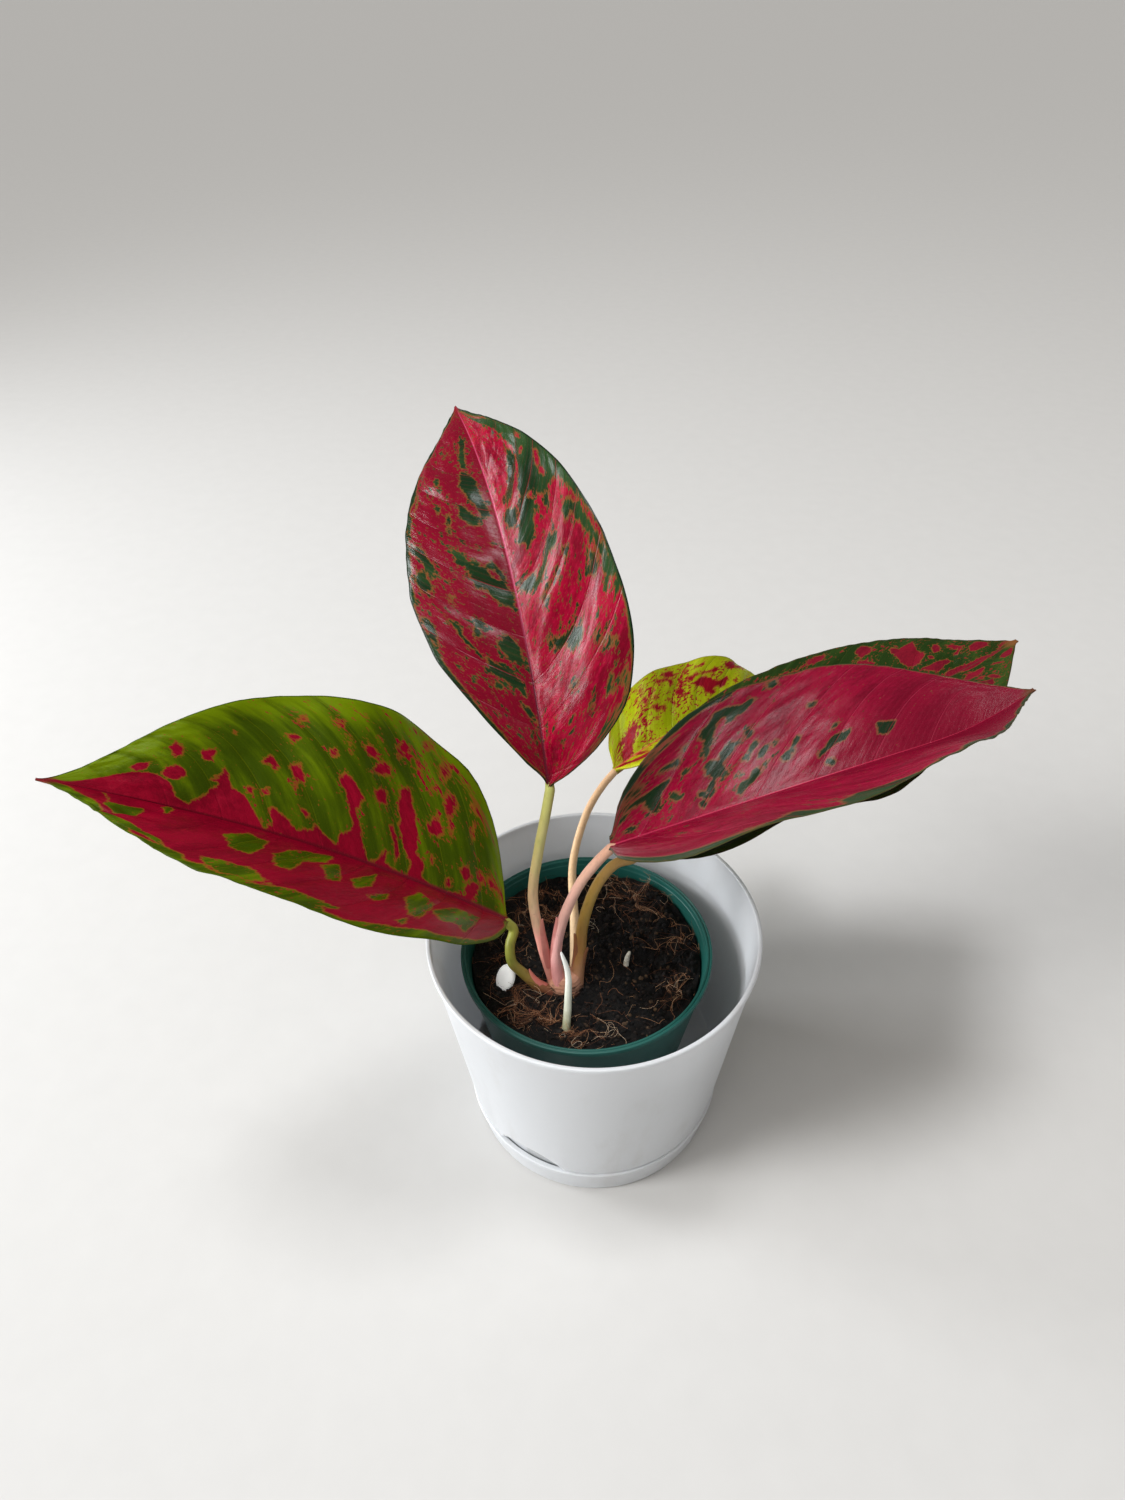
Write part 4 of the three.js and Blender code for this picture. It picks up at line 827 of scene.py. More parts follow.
# a sheath is how far up its free tip stands, the side it is on, its height and its width
stalks = {
    "upright": {
        "route": [(-17.5, -11, 94), (-22.7, -10.5, 120.2), (-26.3, -6.1, 147.5), (-22.9, -4.4, 174.8),
                  (-19.7, 0.2, 190.7)],
        "foot": 3, "neck": 2.1, "sheaths": [(0.36, (1, -0.3, 0), 30, 2.7)],
        "shades": [(0, (206, 138, 122)), (0.25, (246, 168, 154)), (0.42, (246, 206, 166)), (0.65, (212, 198, 132)),
                   (1, (164, 176, 84))]},
    "left": {
        "route": [(-18.5, -15.2, 94), (-25.8, -14.8, 98.7), (-31.6, -13, 104.2), (-36.9, -11.8, 110.8),
                  (-37.7, -8.2, 118.2), (-36.1, -4, 124.2)],
        "foot": 3.1, "neck": 2.2, "sheaths": [(0.3, (0.5, 0.4, 0.8), 13, 2.3)],
        "shades": [(0, (116, 66, 52)), (0.22, (130, 94, 50)), (0.5, (142, 144, 58)), (0.8, (158, 160, 66)),
                   (1, (140, 112, 52))]},
    "front": {
        "route": [(-15, -15.3, 94), (-16.9, -11.5, 115.4), (-13.3, -8.3, 136.2), (-5.3, -4.5, 155.7),
                  (2, -1.7, 165.7)],
        "foot": 3.2, "neck": 2.2, "sheaths": [(0.46, (-1, -0.2, 0), 24, 1.9)],
        "shades": [(0, (232, 146, 144)), (0.3, (252, 190, 184)), (0.7, (232, 184, 162)), (1, (216, 164, 134))]},
    "back": {
        "route": [(-8.4, -13, 94), (-6.4, -7.1, 110.2), (-4.2, -0.9, 128.1), (2.5, 6.2, 144.7), (10.1, 10.3, 152.1)],
        "foot": 3.8, "neck": 2.3, "wing": (142, 84, 62),
        "sheaths": [(0.34, (-1, -0.3, 0), 22, 2.5), (0.26, (1, -0.2, 0), 17, 2.6)],
        "shades": [(0, (180, 132, 106)), (0.25, (172, 126, 68)), (0.55, (178, 146, 66)), (0.8, (190, 150, 88)),
                   (1, (150, 122, 50))]},
    "small": {
        "route": [(-8.5, -6.5, 95), (-9.1, 15.6, 110.6), (-9.9, 36, 125.7), (-3.3, 54.8, 141.5), (4.3, 65.6, 149.5)],
        "foot": 2.6, "neck": 1.8, "sheaths": [],
        "shades": [(0, (246, 216, 172)), (0.5, (242, 202, 154)), (1, (226, 184, 142))]},
}
crownForm = {
    "centre": (-13, -11.8), "flat": 0.85, "shades": ((54, 40, 32), (196, 144, 118)),
    "outline": [(0, 80), (5.9, 80), (8.4, 85), (8.9, 93), (7.8, 98.5), (5.6, 103), (0, 104.6)],
}
shootForm = {
    "route": [(-12.2, -37, 84), (-12.1, -36.9, 94), (-11.2, -31, 108), (-11.2, -25.5, 121), (-14, -22, 130.5)],
    "foot": 1.9, "tip": 0.25,
}
sliverForm = {"route": [(15.2, 0.5, 91), (15.8, 1.4, 98), (17, 1.8, 102.5)], "foot": 1.3, "tip": 0.3}
chipForm = {"centre": (-40.4, -12, 100), "radius": 7, "narrow": 0.72, "thickness": 3.2, "turn": (-32, -50)}


def alongRoute(points, count):  # centripetal Catmull-Rom through the points
    p = np.array(points, float)
    p = np.vstack([2 * p[0] - p[1], p, 2 * p[-1] - p[-2]])
    gaps = np.sqrt(np.linalg.norm(np.diff(p, axis=0), axis=1))
    knots = np.concatenate([[0], np.cumsum(gaps)])
    places = []
    for t in np.linspace(knots[1], knots[-2], count):
        k = int(np.clip(np.searchsorted(knots, t, side="right") - 1, 1, len(p) - 3))
        k0, k1, k2, k3 = knots[k - 1:k + 3]
        a1 = ((k1 - t) * p[k - 1] + (t - k0) * p[k]) / (k1 - k0)
        a2 = ((k2 - t) * p[k] + (t - k1) * p[k + 1]) / (k2 - k1)
        a3 = ((k3 - t) * p[k + 1] + (t - k2) * p[k + 2]) / (k3 - k2)
        b1 = ((k2 - t) * a1 + (t - k0) * a2) / (k2 - k0)
        b2 = ((k3 - t) * a2 + (t - k1) * a3) / (k3 - k1)
        places.append(((k2 - t) * b1 + (t - k1) * b2) / (k2 - k1))
    return np.array(places)


def grownStem(name, places, radii, material, ripple=stalkForm["ripple"]):
    curve = bpy.data.curves.new(name, "CURVE")
    curve.dimensions = "3D"
    spline = curve.splines.new("POLY")
    spline.points.add(len(places) - 1)
    for point, place, radius in zip(spline.points, places, radii):
        point.co = (*(Vector(place) * mm), 1)
        point.radius = radius
    guide = bpy.data.objects.new(name + "_guide", curve)
    scene.collection.objects.link(guide)
    rings, sides = stalkForm["rings"], stalkForm["sides"]
    tree = Growth("stem", Rings=rings, Sides=sides, Ripple=ripple, Material=material)
    even = tree.node("GeometryNodeResampleCurve", sockets={"Curve": tree.input(), "Count": tree.input("Rings")})
    rise = tree.node("GeometryNodeSplineParameter", out="Factor")
    even = tree.store(even, "rise", rise)
    circle = tree.node("GeometryNodeCurvePrimitiveCircle", sockets={"Resolution": tree.input("Sides"), "Radius": mm})
    scale = tree.node("GeometryNodeInputRadius")
    sockets = {"Curve": even, "Profile Curve": circle, "Scale": scale, "Fill Caps": True}
    skin = tree.node("GeometryNodeCurveToMesh", sockets=sockets)
    where = tree.vectorMath("MULTIPLY", tree.node("GeometryNodeInputPosition"), (420, 420, 120))
    bulge = (tree.noise(where, 1, 2) - 0.5) * tree.input("Ripple") * mm
    offset = tree.vectorScale(tree.node("GeometryNodeInputNormal"), bulge)
    skin = tree.node("GeometryNodeSetPosition", sockets={"Geometry": skin, "Offset": offset})
    piece = tree.grown(name, guide, skin)
    piece.data.shade_smooth()
    piece.data.set_sharp_from_angle(angle=math.radians(60))
    bpy.data.objects.remove(guide)
    return piece


def sheathPiece(name, places, radii, share, out, height, width, material):
    # a thin wing on one side of the stalk, widest low down and pointed at its free tip
    steps, sides = 60, 20
    length = np.concatenate([[0], np.cumsum(np.linalg.norm(np.diff(places, axis=0), axis=1))])
    end = share * length[-1]
    t = np.linspace(0, 1, steps)
    at = end - height * (1 - t)
    centre = np.stack([np.interp(at, length, places[:, c]) for c in range(3)], 1)
    tangent = unit(np.gradient(centre, axis=0))
    radius = np.interp(at, length, radii)
    outwards = np.array(out, float)
    outwards = unit(outwards - tangent * (tangent @ outwards)[:, None])
    side = np.cross(tangent, outwards)
    centre = centre + outwards * (radius * 0.7 + 1.5 * t ** 2)[:, None]
    half = width * (1.15 - 0.15 * t) * np.sqrt(np.maximum(1 - 0.96 * t ** 3, 0)) * ease(-0.1, 0.12, t)
    thick = (1.1 - 0.75 * t) * ease(-0.2, 0.1, t)
    turns = roundTurns(sides)
    sideways = half[:, None] * np.cos(turns)
    lift = thick[:, None] * np.sin(turns) - 0.5 * np.cos(turns) ** 2 * half[:, None]
    ring = centre[:, None] + side[:, None] * sideways[..., None] + outwards[:, None] * lift[..., None]
    rise = np.repeat((at / length[-1])[:, None], sides, 1)
    fields = {"rise": rise, "wing": np.ones_like(rise)}
    return meshPiece(name, ring, tubeFaces(steps, sides), material, sharp=60, fields=fields)


def stalkPaint(name, shades, wingTone):
    paint = Paint("stalk_" + name)
    rise, place = paint.attribute("rise"), paint.position()
    wing = paint.attribute("wing")
    streak = paint.noise(paint.vectorMath("MULTIPLY", place, (800, 800, 70)), 1, 3, 0.5)
    blotch = paint.noise(place, 120, 3)
    base = paint.ramp(rise + (blotch - 0.5) * 0.3, [(at, colour(*shade)) for at, shade in shades])
    dull = paint.ramp(rise, [(at, colour(*(0.88 * c for c in shade))) for at, shade in shades])
    shade = paint.mix(paint.step(streak, 0.5, 0.75) * 0.6, base, dull)
    shade = paint.mix(wing * paint.step(blotch, 0.2, 0.5) * 0.75, shade, colour(*wingTone))
    spots = paint.step(paint.noise(place, 700, 2), 0.68, 0.76) * 0.3
    shade = paint.mix(spots, shade, colour(170, 100, 80))
    return paint.finish(Base_Color=shade, Roughness=0.38 + streak * 0.12, Normal=paint.bump(streak, 0.0003, 0.35))


def stalkPiece(name):
    stalk = stalks[name]
    leaf = leaves[name]
    azimuth, pitch = math.radians(leaf["azimuth"]), math.radians(leaf["pitch"])
    ahead = np.array([math.cos(pitch) * math.cos(azimuth), math.cos(pitch) * math.sin(azimuth), math.sin(pitch)])
    base = np.array(leaf["base"], float)
    frames = midribFrames(leaf)
    up = frames[3][0]
    places = alongRoute([*stalk["route"], tuple(base - 0.3 * ahead - 0.7 * up)], 120)
    share = np.linspace(0, 1, len(places))
    radii = stalk["neck"] + (stalk["foot"] - stalk["neck"]) * np.exp(-share / 0.24)
    into = np.linspace(0, 1, 12)[1:]
    rib = np.stack([np.interp(into * 0.05, frames[0], frames[1][:, c]) for c in range(3)], 1)
    places = np.vstack([places, rib - up * (1.0 + 0.3 * into)[:, None]])
    radii = np.concatenate([radii, stalk["neck"] * (1 - 0.6 * into)])
    material = stalkPaint(name, stalk["shades"], stalk.get("wing", (208, 118, 112)))
    pieces = [grownStem("stalk_" + name, places, radii, material)]
    for share, out, height, width in stalk["sheaths"]:
        pieces.append(sheathPiece("sheath", places, radii, share, out, height, width, material))
    piece = joined("stalk_" + name, pieces) if len(pieces) > 1 else pieces[0]
    placed(piece, "petiole_" + name)


def crownPiece():
    rows, sides = 90, 72
    outline = alongRoute([(r, 0, z) for r, z in crownForm["outline"]], rows)
    turns = roundTurns(sides)
    radius = np.maximum(outline[:, 0], 0.02)[:, None] * np.ones(sides)
    height = outline[:, 2][:, None] * np.ones(sides)
    rings = 0.25 * np.abs(np.sin(height * 1.9 + 0.6 * np.sin(turns * 2))) ** 4
    radius = radius + rings * (radius > 1)
    cx, cy = crownForm["centre"]
    points = np.stack([cx + radius * np.cos(turns), cy + crownForm["flat"] * radius * np.sin(turns), height], -1)
    points += wobble(points, 0.35)[..., None] * 0.5 * (radius > 1)[..., None]
    paint = Paint("crown")
    place = paint.position()
    blotch = paint.noise(place, 260, 5)
    scars = paint.noise(paint.vectorMath("MULTIPLY", place, (120, 120, 900)), 1, 3)
    dark, light = (colour(*shade) for shade in crownForm["shades"])
    low = paint.node("ShaderNodeSeparateXYZ", sockets={"Vector": place}, out="Z")
    shade = paint.mix(paint.step(low + (blotch + scars - 1) * 0.012, 0.0955, 0.1), dark, light)
    shade = paint.mix(paint.step(blotch * 0.5 + scars * 0.5, 0.5, 0.62) * 0.4, shade, colour(150, 92, 74))
    material = paint.finish(Base_Color=shade, Roughness=0.6, Normal=paint.bump(scars + blotch, 0.0006, 0.6))
    placed(meshPiece("stem_crown", points, tubeFaces(rows, sides), material), "crown")


def taperedStem(name, form, material, ripple, node):
    places = alongRoute(form["route"], 100)
    t = np.linspace(0, 1, 100)
    radii = form["tip"] + (form["foot"] - form["tip"]) * np.sqrt(np.maximum(1 - t ** 2, 0))
    piece = grownStem(name, places, radii, material, ripple)
    placed(piece, node)


def shootPaint():
    paint = Paint("young_shoot")
    rise, place = paint.attribute("rise"), paint.position()
    streak = paint.noise(paint.vectorMath("MULTIPLY", place, (1100, 1100, 90)), 1, 4)
    stops = [(0, colour(130, 120, 92)), (0.3, colour(176, 176, 142)), (0.45, colour(224, 228, 208)),
             (1, colour(248, 250, 246))]
    base = paint.ramp(rise + (streak - 0.5) * 0.2, stops)
    shade = paint.mix(paint.step(streak, 0.5, 0.8) * 0.4, base, colour(200, 202, 180))
    return paint.finish(Base_Color=shade, Roughness=0.45, Normal=paint.bump(streak, 0.0003, 0.5))


def grainPaint(name, pale, dark, pitted, glow=0):
    paint = Paint(name)
    place = paint.position()
    grain = paint.noise(place, 900, 5, 0.65)
    pits = paint.cells(place, 900)
    shade = paint.mix(paint.step(grain, 0.35, 0.6), colour(*dark), colour(*pale))
    if glow:  # painted light: the chip glows so it stays bright in the shade of the leaves
        paint.finish(Emission_Color=shade, Emission_Strength=glow)
    return paint.finish(Base_Color=shade, Roughness=0.85, Normal=paint.bump(grain + pits * 0.5, 0.0004, pitted))


def chipPiece():
    sides = 60
    turns = roundTurns(sides)
    half = chipForm["thickness"] / 2
    profile = [(0.02, -half), (0.6, -half), (0.86, -half * 0.9), (0.98, -half * 0.45), (1, 0), (0.98, half * 0.45),
               (0.86, half * 0.9), (0.6, half), (0.3, half * 0.94), (0.02, half * 0.92)]
    rows = []
    for share, lift in profile:
        reach = chipForm["radius"] * share * (1 + 0.015 * np.sin(3 * turns))
        x, y = reach * np.cos(turns) * chipForm["narrow"], reach * np.sin(turns)
        rows.append(np.stack([x, y, np.full(sides, lift)], -1))
    points = np.array(rows)
    points += wobble(points, 0.15)[..., None] * 0.08
    tilt, spin = (math.radians(a) for a in chipForm["turn"])
    turn = Matrix.Rotation(spin, 3, "Z") @ Matrix.Rotation(tilt, 3, "X") @ Matrix.Rotation(math.radians(-90), 3, "X")
    points = points @ np.array(turn).T + np.array(chipForm["centre"])
    # the last number is a painted glow that brightens the chip
    material = grainPaint("pale_chip", (248, 250, 250), (238, 240, 238), 0.12, 0.2)
    placed(meshPiece("pale_chip", points, tubeFaces(len(profile), sides), material, sharp=50), "chip")


for name in stalks:
    stalkPiece(name)
crownPiece()
taperedStem("young_shoot", shootForm, shootPaint(), 0.2, "shoot")
sliverPaint = grainPaint("pale_sliver", (232, 228, 216), (196, 186, 164), 0.5)
taperedStem("pale_sliver", sliverForm, sliverPaint, 0.3, "sliver")
chipPiece()
print("stalks, crown and shoot are grown")


# Pots and saucer, turned from their profiles
saucerForm = {
    "profile": [(0, 0), (58.6, 0), (60, 1.2), (62.1, 15.4), (62.9, 16), (63, 18), (60.6, 18), (57.6, 2.4),
                (0, 2.4)],
    "round": 0.6,
}
# "holes" are how many, their radius and the radius of their circle; "notch" is its angle, length and height
coverForm = {
    "rim": 76, "height": 123.3, "foot": 62.2, "footHeight": 18.3, "wall": 2.1, "floor": 28, "skirt": 59.9,
    "skirtWall": 1.8, "skirtFoot": 9, "round": 0.9, "holes": (5, 4, 32), "notch": (-119.5, 37, 11.5),
}
nurseryForm = {
    "centre": (-3.4, 4.9), "rim": 59.1, "height": 103, "lip": 3.2, "lipStep": 1.1, "wall": 1.4, "foot": 45,
    "footHeight": 28.3, "round": 0.45, "holes": (6, 4, 33),
}


def rounded(profile, radius, steps=5):  # the profile with every corner off the axis turned to a small arc
    points = [np.array(p, float) for p in profile]
    soft = [points[0]]
    for before, corner, after in zip(points, points[1:], points[2:]):
        reach = min(radius, 0.45 * np.linalg.norm(before - corner), 0.45 * np.linalg.norm(after - corner))
        start = corner + unit(before - corner) * reach
        end = corner + unit(after - corner) * reach
        for t in np.linspace(0, 1, steps):
            soft.append((1 - t) ** 2 * start + 2 * t * (1 - t) * corner + t * t * end)
    soft.append(points[-1])
    return soft


def turned(name, profile, material, centre=(0, 0), steps=224):
    turns = roundTurns(steps)
    inner = profile[1:-1]
    rings = [np.stack([centre[0] + r * np.cos(turns), centre[1] + r * np.sin(turns), np.full(steps, z)], 1)
             for r, z in inner]
    poles = [(*centre, profile[0][1]), (*centre, profile[-1][1])]
    points = np.vstack([*rings, poles])
    faces = gridFaces(len(inner), steps, closed=True)
    last = (len(inner) - 1) * steps
    bottom, top = len(inner) * steps, len(inner) * steps + 1
    for k in range(steps):
        after = (k + 1) % steps
        faces.append((bottom, after, k))
        faces.append((top, last + k, last + after))
    return meshPiece(name, points, faces, material, sharp=32)


def prism(outline, low, high):  # a cutter: an outline run straight up
    points = [(x, y, at) for at in (low, high) for x, y in outline]
    n = len(outline)
    faces = [tuple(range(n))[::-1], tuple(n + k for k in range(n))]
    faces += [(k, (k + 1) % n, n + (k + 1) % n, n + k) for k in range(n)]
    return points, faces


def cutAway(piece, cutters):
    for cutter in cutters:
        cut = piece.modifiers.new("cut", "BOOLEAN")
        cut.object = cutter
        cut.solver = "EXACT"
    mesh = bpy.data.meshes.new_from_object(piece.evaluated_get(bpy.context.evaluated_depsgraph_get()))
    piece.modifiers.clear()
    piece.data = mesh
    mesh.shade_smooth()
    mesh.set_sharp_from_angle(angle=math.radians(32))
    for cutter in cutters:
        bpy.data.objects.remove(cutter)


def drainCutters(holes, centre, low, high):
    count, radius, circle = holes
    turns = roundTurns(32)
    cutters = []
    for k in range(count):
        at = 2 * np.pi * k / count
        x, y = centre[0] + circle * math.cos(at), centre[1] + circle * math.sin(at)
        outline = [(x + radius * math.cos(t), y + radius * math.sin(t)) for t in turns]
        points, faces = prism(outline, low, high)
        cutters.append(meshPiece("drainHole", points, faces, bpy.data.materials[0]))
    return cutters


def plasticPaint(name, tone, smudge, shine, glow=0):
    paint = Paint(name)
    place = paint.position()
    broad = paint.noise(place, 14, 3)
    smear = paint.noise(paint.vectorMath("MULTIPLY", place, (60, 60, 22)), 1, 5, 0.6)
    grain = paint.noise(place, 1500, 2)
    tone, smudge = colour(*tone), colour(*smudge)
    shade = paint.mix(paint.step(smear * 0.6 + broad * 0.4, 0.5, 0.72) * 0.5, tone, smudge)
    flecks = paint.step(paint.noise(place, 420, 2), 0.74, 0.8) * paint.step(broad, 0.45, 0.7)
    shade = paint.mix(flecks * 0.4, shade, tuple(c * 0.55 for c in smudge))
    height = grain * 0.3 + paint.noise(place, 90, 3) * 0.7
    if glow:  # thin white walls let some light through, and the hollow of the foot is darkened with painted shade
        paint.finish(Subsurface_Weight=glow, Subsurface_Scale=0.006, Subsurface_Radius=(1, 1, 1))
        side, low = (paint.node("ShaderNodeSeparateXYZ", sockets={"Vector": place}, out=axis) for axis in "XZ")
        away = paint.vectorMath("LENGTH", paint.vectorMath("MULTIPLY", place, (1, 1, 0)), out="Value")
        hollow = paint.step(low, 0.0272, 0.026) * paint.step(low, 0.003, 0.004) * paint.step(away, 0.0604, 0.06)
        hollowShade = hollow * (0.6 - paint.step(side, -0.031, -0.033) * 0.45)  # painted shade, with less of it where the notch lets light in
        shade = paint.mix(hollowShade, shade, colour(150, 152, 150))
    return paint.finish(Base_Color=shade, Roughness=shine + smear * 0.22, Normal=paint.bump(height, 0.0003, 0.25))


white = plasticPaint("white_plastic", (214, 217, 221), (196, 195, 192), 0.22, 0.35)
green = plasticPaint("green_plastic", (30, 92, 84), (52, 110, 102), 0.3)


def makeSaucer():
    profile = rounded(saucerForm["profile"], saucerForm["round"])
    placed(turned("saucer_turned", profile, white), "saucer")


def makeCoverPot():
    form = coverForm
    taper = (form["rim"] - form["foot"]) / (form["height"] - 18)
    outer = lambda z: form["rim"] - taper * (form["height"] - z)
    wall, foot, skirt, floor = form["wall"], form["footHeight"], form["skirt"], form["floor"]
    inner = skirt - form["skirtWall"]
    under, bend = floor - 2, 17  # the underside of the floor, and where the skirt turns in
    rim, top = form["rim"], form["height"]
    profile = [(0, under), (inner, under), (inner, bend), (inner - 1.7, form["skirtFoot"]),
               (skirt - 1.7, form["skirtFoot"]), (skirt, bend), (skirt, under), (outer(under) - wall, under),
               (outer(foot) - wall, foot), (outer(foot), foot), (rim - 1.3, top - 3.2), (rim - 0.05, top - 2.6),
               (rim - 0.05, top - 0.4), (rim - 0.4, top), (rim - wall + 0.5, top), (rim - wall + 0.05, top - 0.4),
               (outer(floor) - wall, floor), (0, floor)]
    pot = turned("cover_pot_turned", rounded(profile, form["round"]), white)
    angle, length, height = form["notch"]
    rows = []
    near, far, low, steps = skirt + 0.1, form["foot"] + 10, foot - 3, 33
    for share in np.linspace(-1, 1, steps):  # an arched cutter that follows the wall, clear of the skirt
        at = math.radians(angle) + share * length / 2 / form["foot"]
        arch = foot + height * (1 - abs(share) ** 2.4)
        ring = [(near, low), (near, arch), (far, arch), (far, low)]
        rows.append([(r * math.cos(at), r * math.sin(at), z) for r, z in ring])
    notch = meshPiece("notch", rows, tubeFaces(steps, 4), white)
    cutAway(pot, [notch, *drainCutters(form["holes"], (0, 0), floor - 5, floor + 3)])
    placed(pot, "cover_pot")


def nurseryInside(z):  # the radius of the nursery pot's inner wall at a height
    form = nurseryForm
    taper = (form["rim"] - form["lipStep"] - form["foot"]) / (form["height"] - form["footHeight"])
    return form["foot"] - form["wall"] + taper * (z - form["footHeight"])


def makeNurseryPot():
    form, inside = nurseryForm, nurseryInside
    body = form["rim"] - form["lipStep"]
    taper = (body - form["foot"]) / (form["height"] - form["footHeight"])
    foot, top, lipFoot = form["footHeight"], form["height"], form["height"] - form["lip"]
    profile = [(0, foot), (form["foot"] - 1, foot), (form["foot"], foot + 1), (body - taper * form["lip"], lipFoot),
               (form["rim"], lipFoot + 0.5), (form["rim"], top - 0.1), (form["rim"] - 0.9, top),
               (form["rim"] - 1.15, top - 0.55), (form["rim"] - 1.5, top - 0.5), (form["rim"] - 1.7, top - 0.05),
               (inside(top), top - 0.1), (inside(top - 2.4), top - 2.4), (inside(top - 2.8) - 0.3, top - 2.8),
               (form["foot"] - form["wall"], foot + form["wall"]), (0, foot + form["wall"])]
    pot = turned("nursery_pot_turned", rounded(profile, form["round"], 4), green, form["centre"])
    cutAway(pot, drainCutters(form["holes"], form["centre"], foot - 2, foot + 4))
    placed(pot, "nursery_pot")


makeSaucer()
makeCoverPot()
makeNurseryPot()
print("pots and saucer are turned")


# Potting mix, with coir fibres and crumbs strewn on it
soilForm = {
    "level": 95, "edge": 89, "gap": 0.25, "roughness": 0.7, "bottom": 30, "rings": 100, "sectors": 260,
    "mounds": [(28, 45, 4.5, 14), (-35, -20, 3.2, 11), (-12, -38, 1.6, 9), (-12, -12, 0, 14), (24, -12, -3, 18),
               (-34, 26, -2, 15)],
}
# clumps of fibre: x, y, reach, how thick they lie
clumps = [
    (20, 42, 9, 1.3), (30, 47, 8, 1.1), (8, 46, 6, 0.6), (-33, -28, 8, 1.2), (-24, -33, 6, 0.8), (-11, -38, 5, 1.2),
    (-2, -41, 5, 0.9), (41, -17, 6, 1.0), (42, 14, 8, 0.4), (-26, 36, 8, 0.9), (-36, 22, 8, 0.4), (-46, 4, 7, 0.4),
]
fibreForm = {"Density": 330000.0, "Length": 0.019, "Bend": 0.024, "Waves": 115.0, "Thickness": 0.000054,
             "Seed": 7}
crumbForm = {"Density": 260000.0, "Size": 0.001, "Seed": 3}
fullTurn = 6.28


def soilHeight(x, y):
    height = soilForm["level"] + soilForm["roughness"] * np.sin(0.61 * x + 1.3 * np.sin(0.23 * y)) * np.cos(
        0.53 * y + np.sin(0.31 * x))
    for mx, my, lift, reach in soilForm["mounds"]:
        height = height + lift * np.exp(-((x - mx) ** 2 + (y - my) ** 2) / reach ** 2)
    return height


def soilPaint():
    paint = Paint("potting_mix")
    place = paint.position()
    lump = paint.noise(place, 240, 5, 0.6)
    grain = paint.noise(place, 1300, 4, 0.65)
    shade = paint.mix(paint.step(lump, 0.42, 0.66), colour(6, 6, 6), colour(22, 18, 15))
    shade = paint.mix(paint.step(grain, 0.62, 0.74) * 0.5, shade, colour(54, 40, 30))
    height = lump + grain * 0.6
    return paint.finish(Base_Color=shade, Roughness=0.9, Normal=paint.bump(height, 0.0012, 0.9))


def fibrePaint(name, stops):
    paint = Paint(name)
    tint = paint.attribute("tint")
    grain = paint.noise(paint.position(), 900, 3)
    shade = paint.ramp(tint + (grain - 0.5) * 0.3, [(at, colour(*tone)) for at, tone in stops])
    return paint.finish(Base_Color=shade, Roughness=0.8, Normal=paint.bump(grain, 0.0002, 0.5))


def makeSoil():
    cx, cy = nurseryForm["centre"]
    inside = lambda z: nurseryInside(z) - soilForm["gap"]
    rings, sectors, sideRings = soilForm["rings"], soilForm["sectors"], 11
    turns = roundTurns(sectors)
    share = np.linspace(1, 0.004, rings)[:, None]
    x = cx + inside(soilForm["edge"]) * share * np.cos(turns)
    y = cy + inside(soilForm["edge"]) * share * np.sin(turns)
    z = soilHeight(x, y)
    flat = np.stack([x, y, np.zeros_like(x)], -1)
    loose = 1 - ease(0.93, 1, share)
    z = z + (wobble(flat, 0.16) * 1.5 + wobble(flat, 0.45, 7) * 0.8 + wobble(flat, 1.1, 3) * 0.35) * loose
    top = np.stack([x, y, z], -1)
    side = []
    for depth in np.linspace(0, 1, sideRings + 1)[:-1]:
        level = soilForm["bottom"] + (soilForm["edge"] - 0.5 - soilForm["bottom"]) * depth
        side.append(np.stack([cx + inside(level) * np.cos(turns), cy + inside(level) * np.sin(turns),
                              np.full(sectors, level)], -1))
    points = np.vstack([np.array(side).reshape(-1, 3), top.reshape(-1, 3)])
    inner = np.ones_like(x) * (1 - ease(0.9, 0.98, share))
    matted = 0.06 + sum(w * np.exp(-((x - mx) ** 2 + (y - my) ** 2) / reach ** 2) for mx, my, reach, w in clumps)
    below = np.zeros(sideRings * sectors)
    fields = {"strewn": inner, "matted": matted * inner}
    fields = {key: np.concatenate([below, field.ravel()]) for key, field in fields.items()}
    faces = tubeFaces(sideRings + rings, sectors)
    soil = meshPiece("potting_mix", points, faces, soilPaint(), fields=fields)
    return soil, (cx, cy, inside(soilForm["level"] + 1))


def strewnPoints(tree, field):
    strewn = tree.node("GeometryNodeInputNamedAttribute", {"data_type": "FLOAT"}, {"Name": field}, "Attribute")
    density = tree.input("Density") * strewn
    sockets = {"Mesh": tree.input(), "Density": density, "Seed": tree.input("Seed")}
    return tree.node("GeometryNodeDistributePointsOnFaces", {"distribute_method": "RANDOM"}, sockets)


def insidePot(tree, geometry, centre):  # what leans out over the rim is drawn back into the pot
    cx, cy, limit = centre
    position = tree.node("GeometryNodeInputPosition")
    flat = tree.vectorMath("SUBTRACT", tree.vectorMath("MULTIPLY", position, (1, 1, 0)), (cx * mm, cy * mm, 0))
    away = tree.vectorMath("LENGTH", flat, out="Value")
    over = (away - (limit - 1.2) * mm).atLeast(0) / away
    back = tree.vectorScale(flat, over * -1)
    return tree.node("GeometryNodeSetPosition", sockets={"Geometry": geometry, "Offset": back})


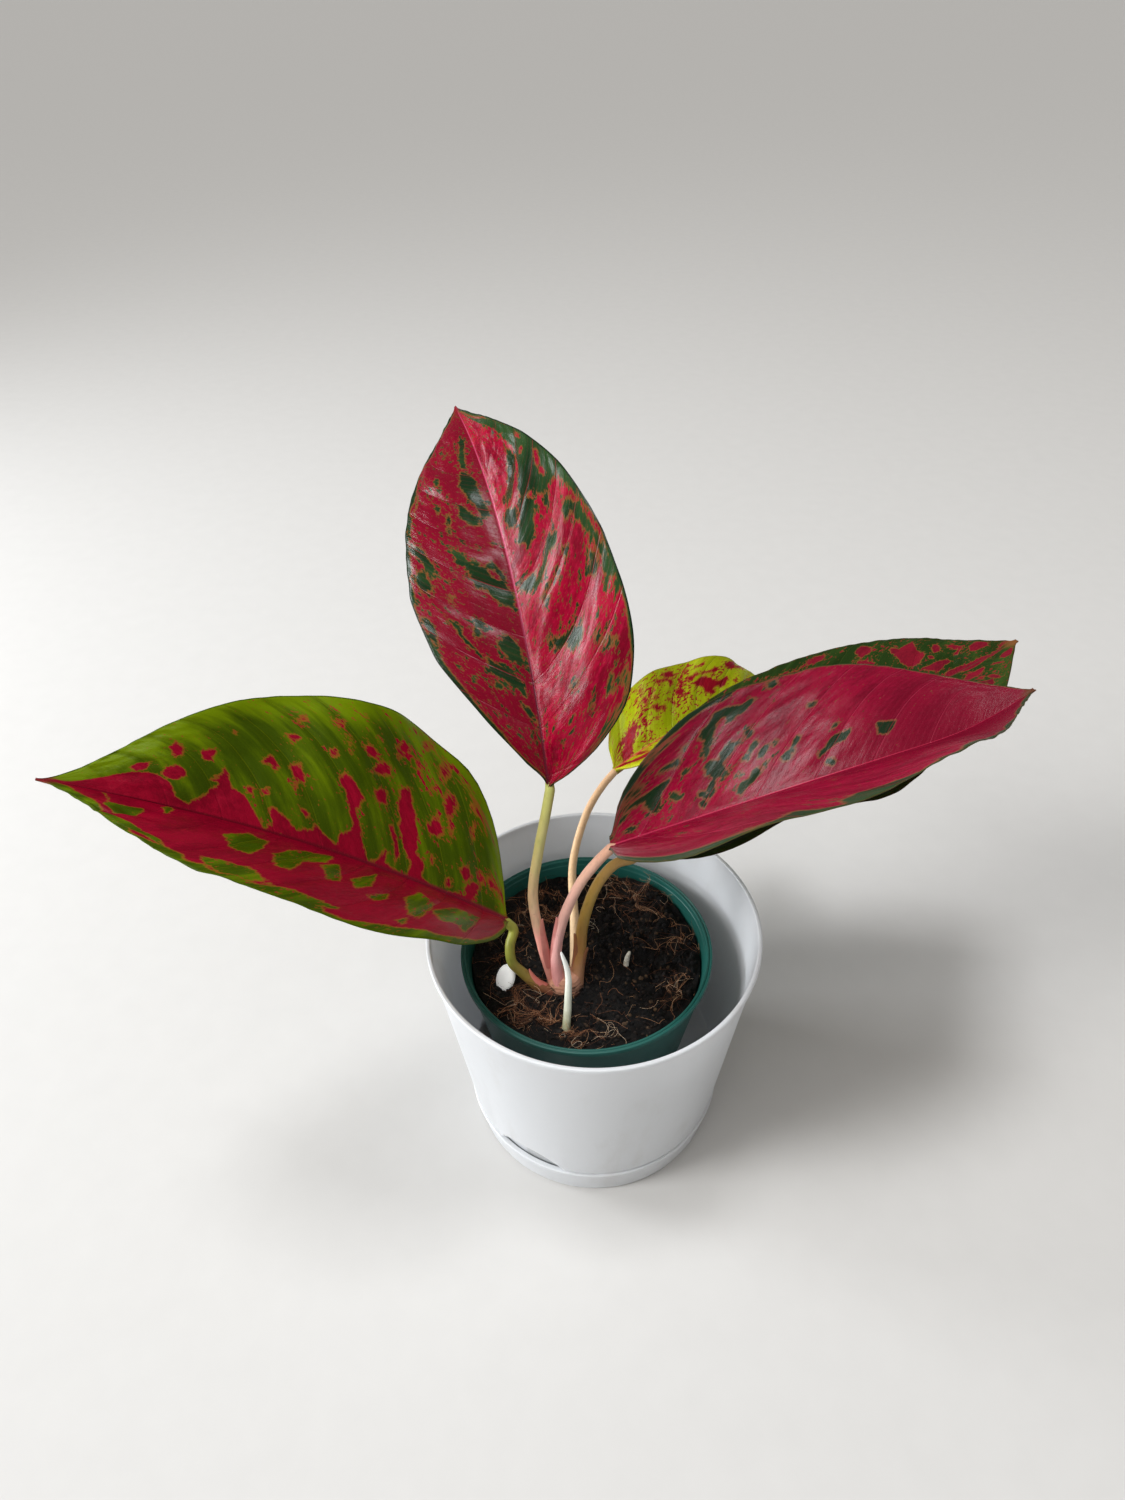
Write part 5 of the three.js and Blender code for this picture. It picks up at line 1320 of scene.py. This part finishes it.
def strewFibres(soil, centre):
    stops = [(0, (42, 28, 21)), (0.32, (108, 68, 46)), (0.64, (184, 124, 86)), (0.86, (226, 176, 132)),
             (1, (244, 226, 198))]
    tree = Growth("fibres", **fibreForm, Material=fibrePaint("coir", stops))
    spread = strewnPoints(tree, "matted")
    turn = Sock(tree, spread.socket.node.outputs["Rotation"])
    line = tree.node("GeometryNodeCurvePrimitiveLine", sockets={"Start": (-0.5, 0, 0), "End": (0.5, 0, 0)})
    line = tree.node("GeometryNodeResampleCurve", sockets={"Curve": line, "Count": 16})
    reach = tree.input("Length") * tree.randomValue(0.25, 1.3, 1)
    sockets = {"Points": spread, "Instance": line, "Rotation": turn, "Scale": tree.vector(reach, reach, reach)}
    lines = tree.node("GeometryNodeInstanceOnPoints", sockets=sockets)
    spin = tree.vector(0.0, tree.randomValue(-0.25, 0.25, 4), tree.randomValue(0.0, fullTurn, 2))
    lines = tree.node("GeometryNodeRotateInstances", sockets={"Instances": lines, "Rotation": spin})
    lines = tree.store(lines, "tint", tree.randomValue(0.0, 1.0, 5) ** 1.6, "INSTANCE")
    lines = tree.node("GeometryNodeRealizeInstances", sockets={0: lines})
    where = tree.vectorScale(tree.node("GeometryNodeInputPosition"), tree.input("Waves"))
    bend = tree.vectorMath("SUBTRACT", tree.noise(where, 1, 1, out="Color"), (0.5, 0.5, 0.42))
    bend = tree.vectorScale(tree.vectorMath("MULTIPLY", bend, (1, 1, 0.45)), tree.input("Bend"))
    lines = tree.node("GeometryNodeSetPosition", sockets={"Geometry": lines, "Offset": bend})
    lines = insidePot(tree, lines, centre)
    sockets = {"Resolution": 3, "Radius": tree.input("Thickness")}
    circle = tree.node("GeometryNodeCurvePrimitiveCircle", sockets=sockets)
    hair = tree.node("GeometryNodeCurveToMesh", sockets={"Curve": lines, "Profile Curve": circle})
    return tree.grown("coir_fibres", soil, hair)


def strewCrumbs(soil, centre):
    stops = [(0, (5, 5, 5)), (0.6, (16, 13, 12)), (0.92, (36, 27, 21)), (1, (84, 64, 44))]
    tree = Growth("crumbs", **crumbForm, Material=fibrePaint("crumbs", stops))
    spread = strewnPoints(tree, "strewn")
    ball = tree.node("GeometryNodeMeshIcoSphere", sockets={"Radius": 1.0, "Subdivisions": 1})
    size = tree.input("Size") * tree.randomValue(0.3, 1.3, 1)
    long = tree.randomValue(0.7, 1.9, 2)
    sockets = {"Points": spread, "Instance": ball, "Scale": tree.vector(size * long, size, size * 0.8)}
    balls = tree.node("GeometryNodeInstanceOnPoints", sockets=sockets)
    spin = tree.vector(*(tree.randomValue(0.0, fullTurn, seed) for seed in (6, 7, 8)))
    balls = tree.node("GeometryNodeRotateInstances", sockets={"Instances": balls, "Rotation": spin})
    balls = tree.store(balls, "tint", tree.randomValue(0.0, 1.0, 5), "INSTANCE")
    balls = tree.node("GeometryNodeRealizeInstances", sockets={0: balls})
    return tree.grown("soil_crumbs", soil, insidePot(tree, balls, centre))


soil, potMiddle = makeSoil()
for strewn in (strewFibres(soil, potMiddle), strewCrumbs(soil, potMiddle), soil):
    placed(strewn, "soil")
print("soil, fibres and crumbs are strewn")
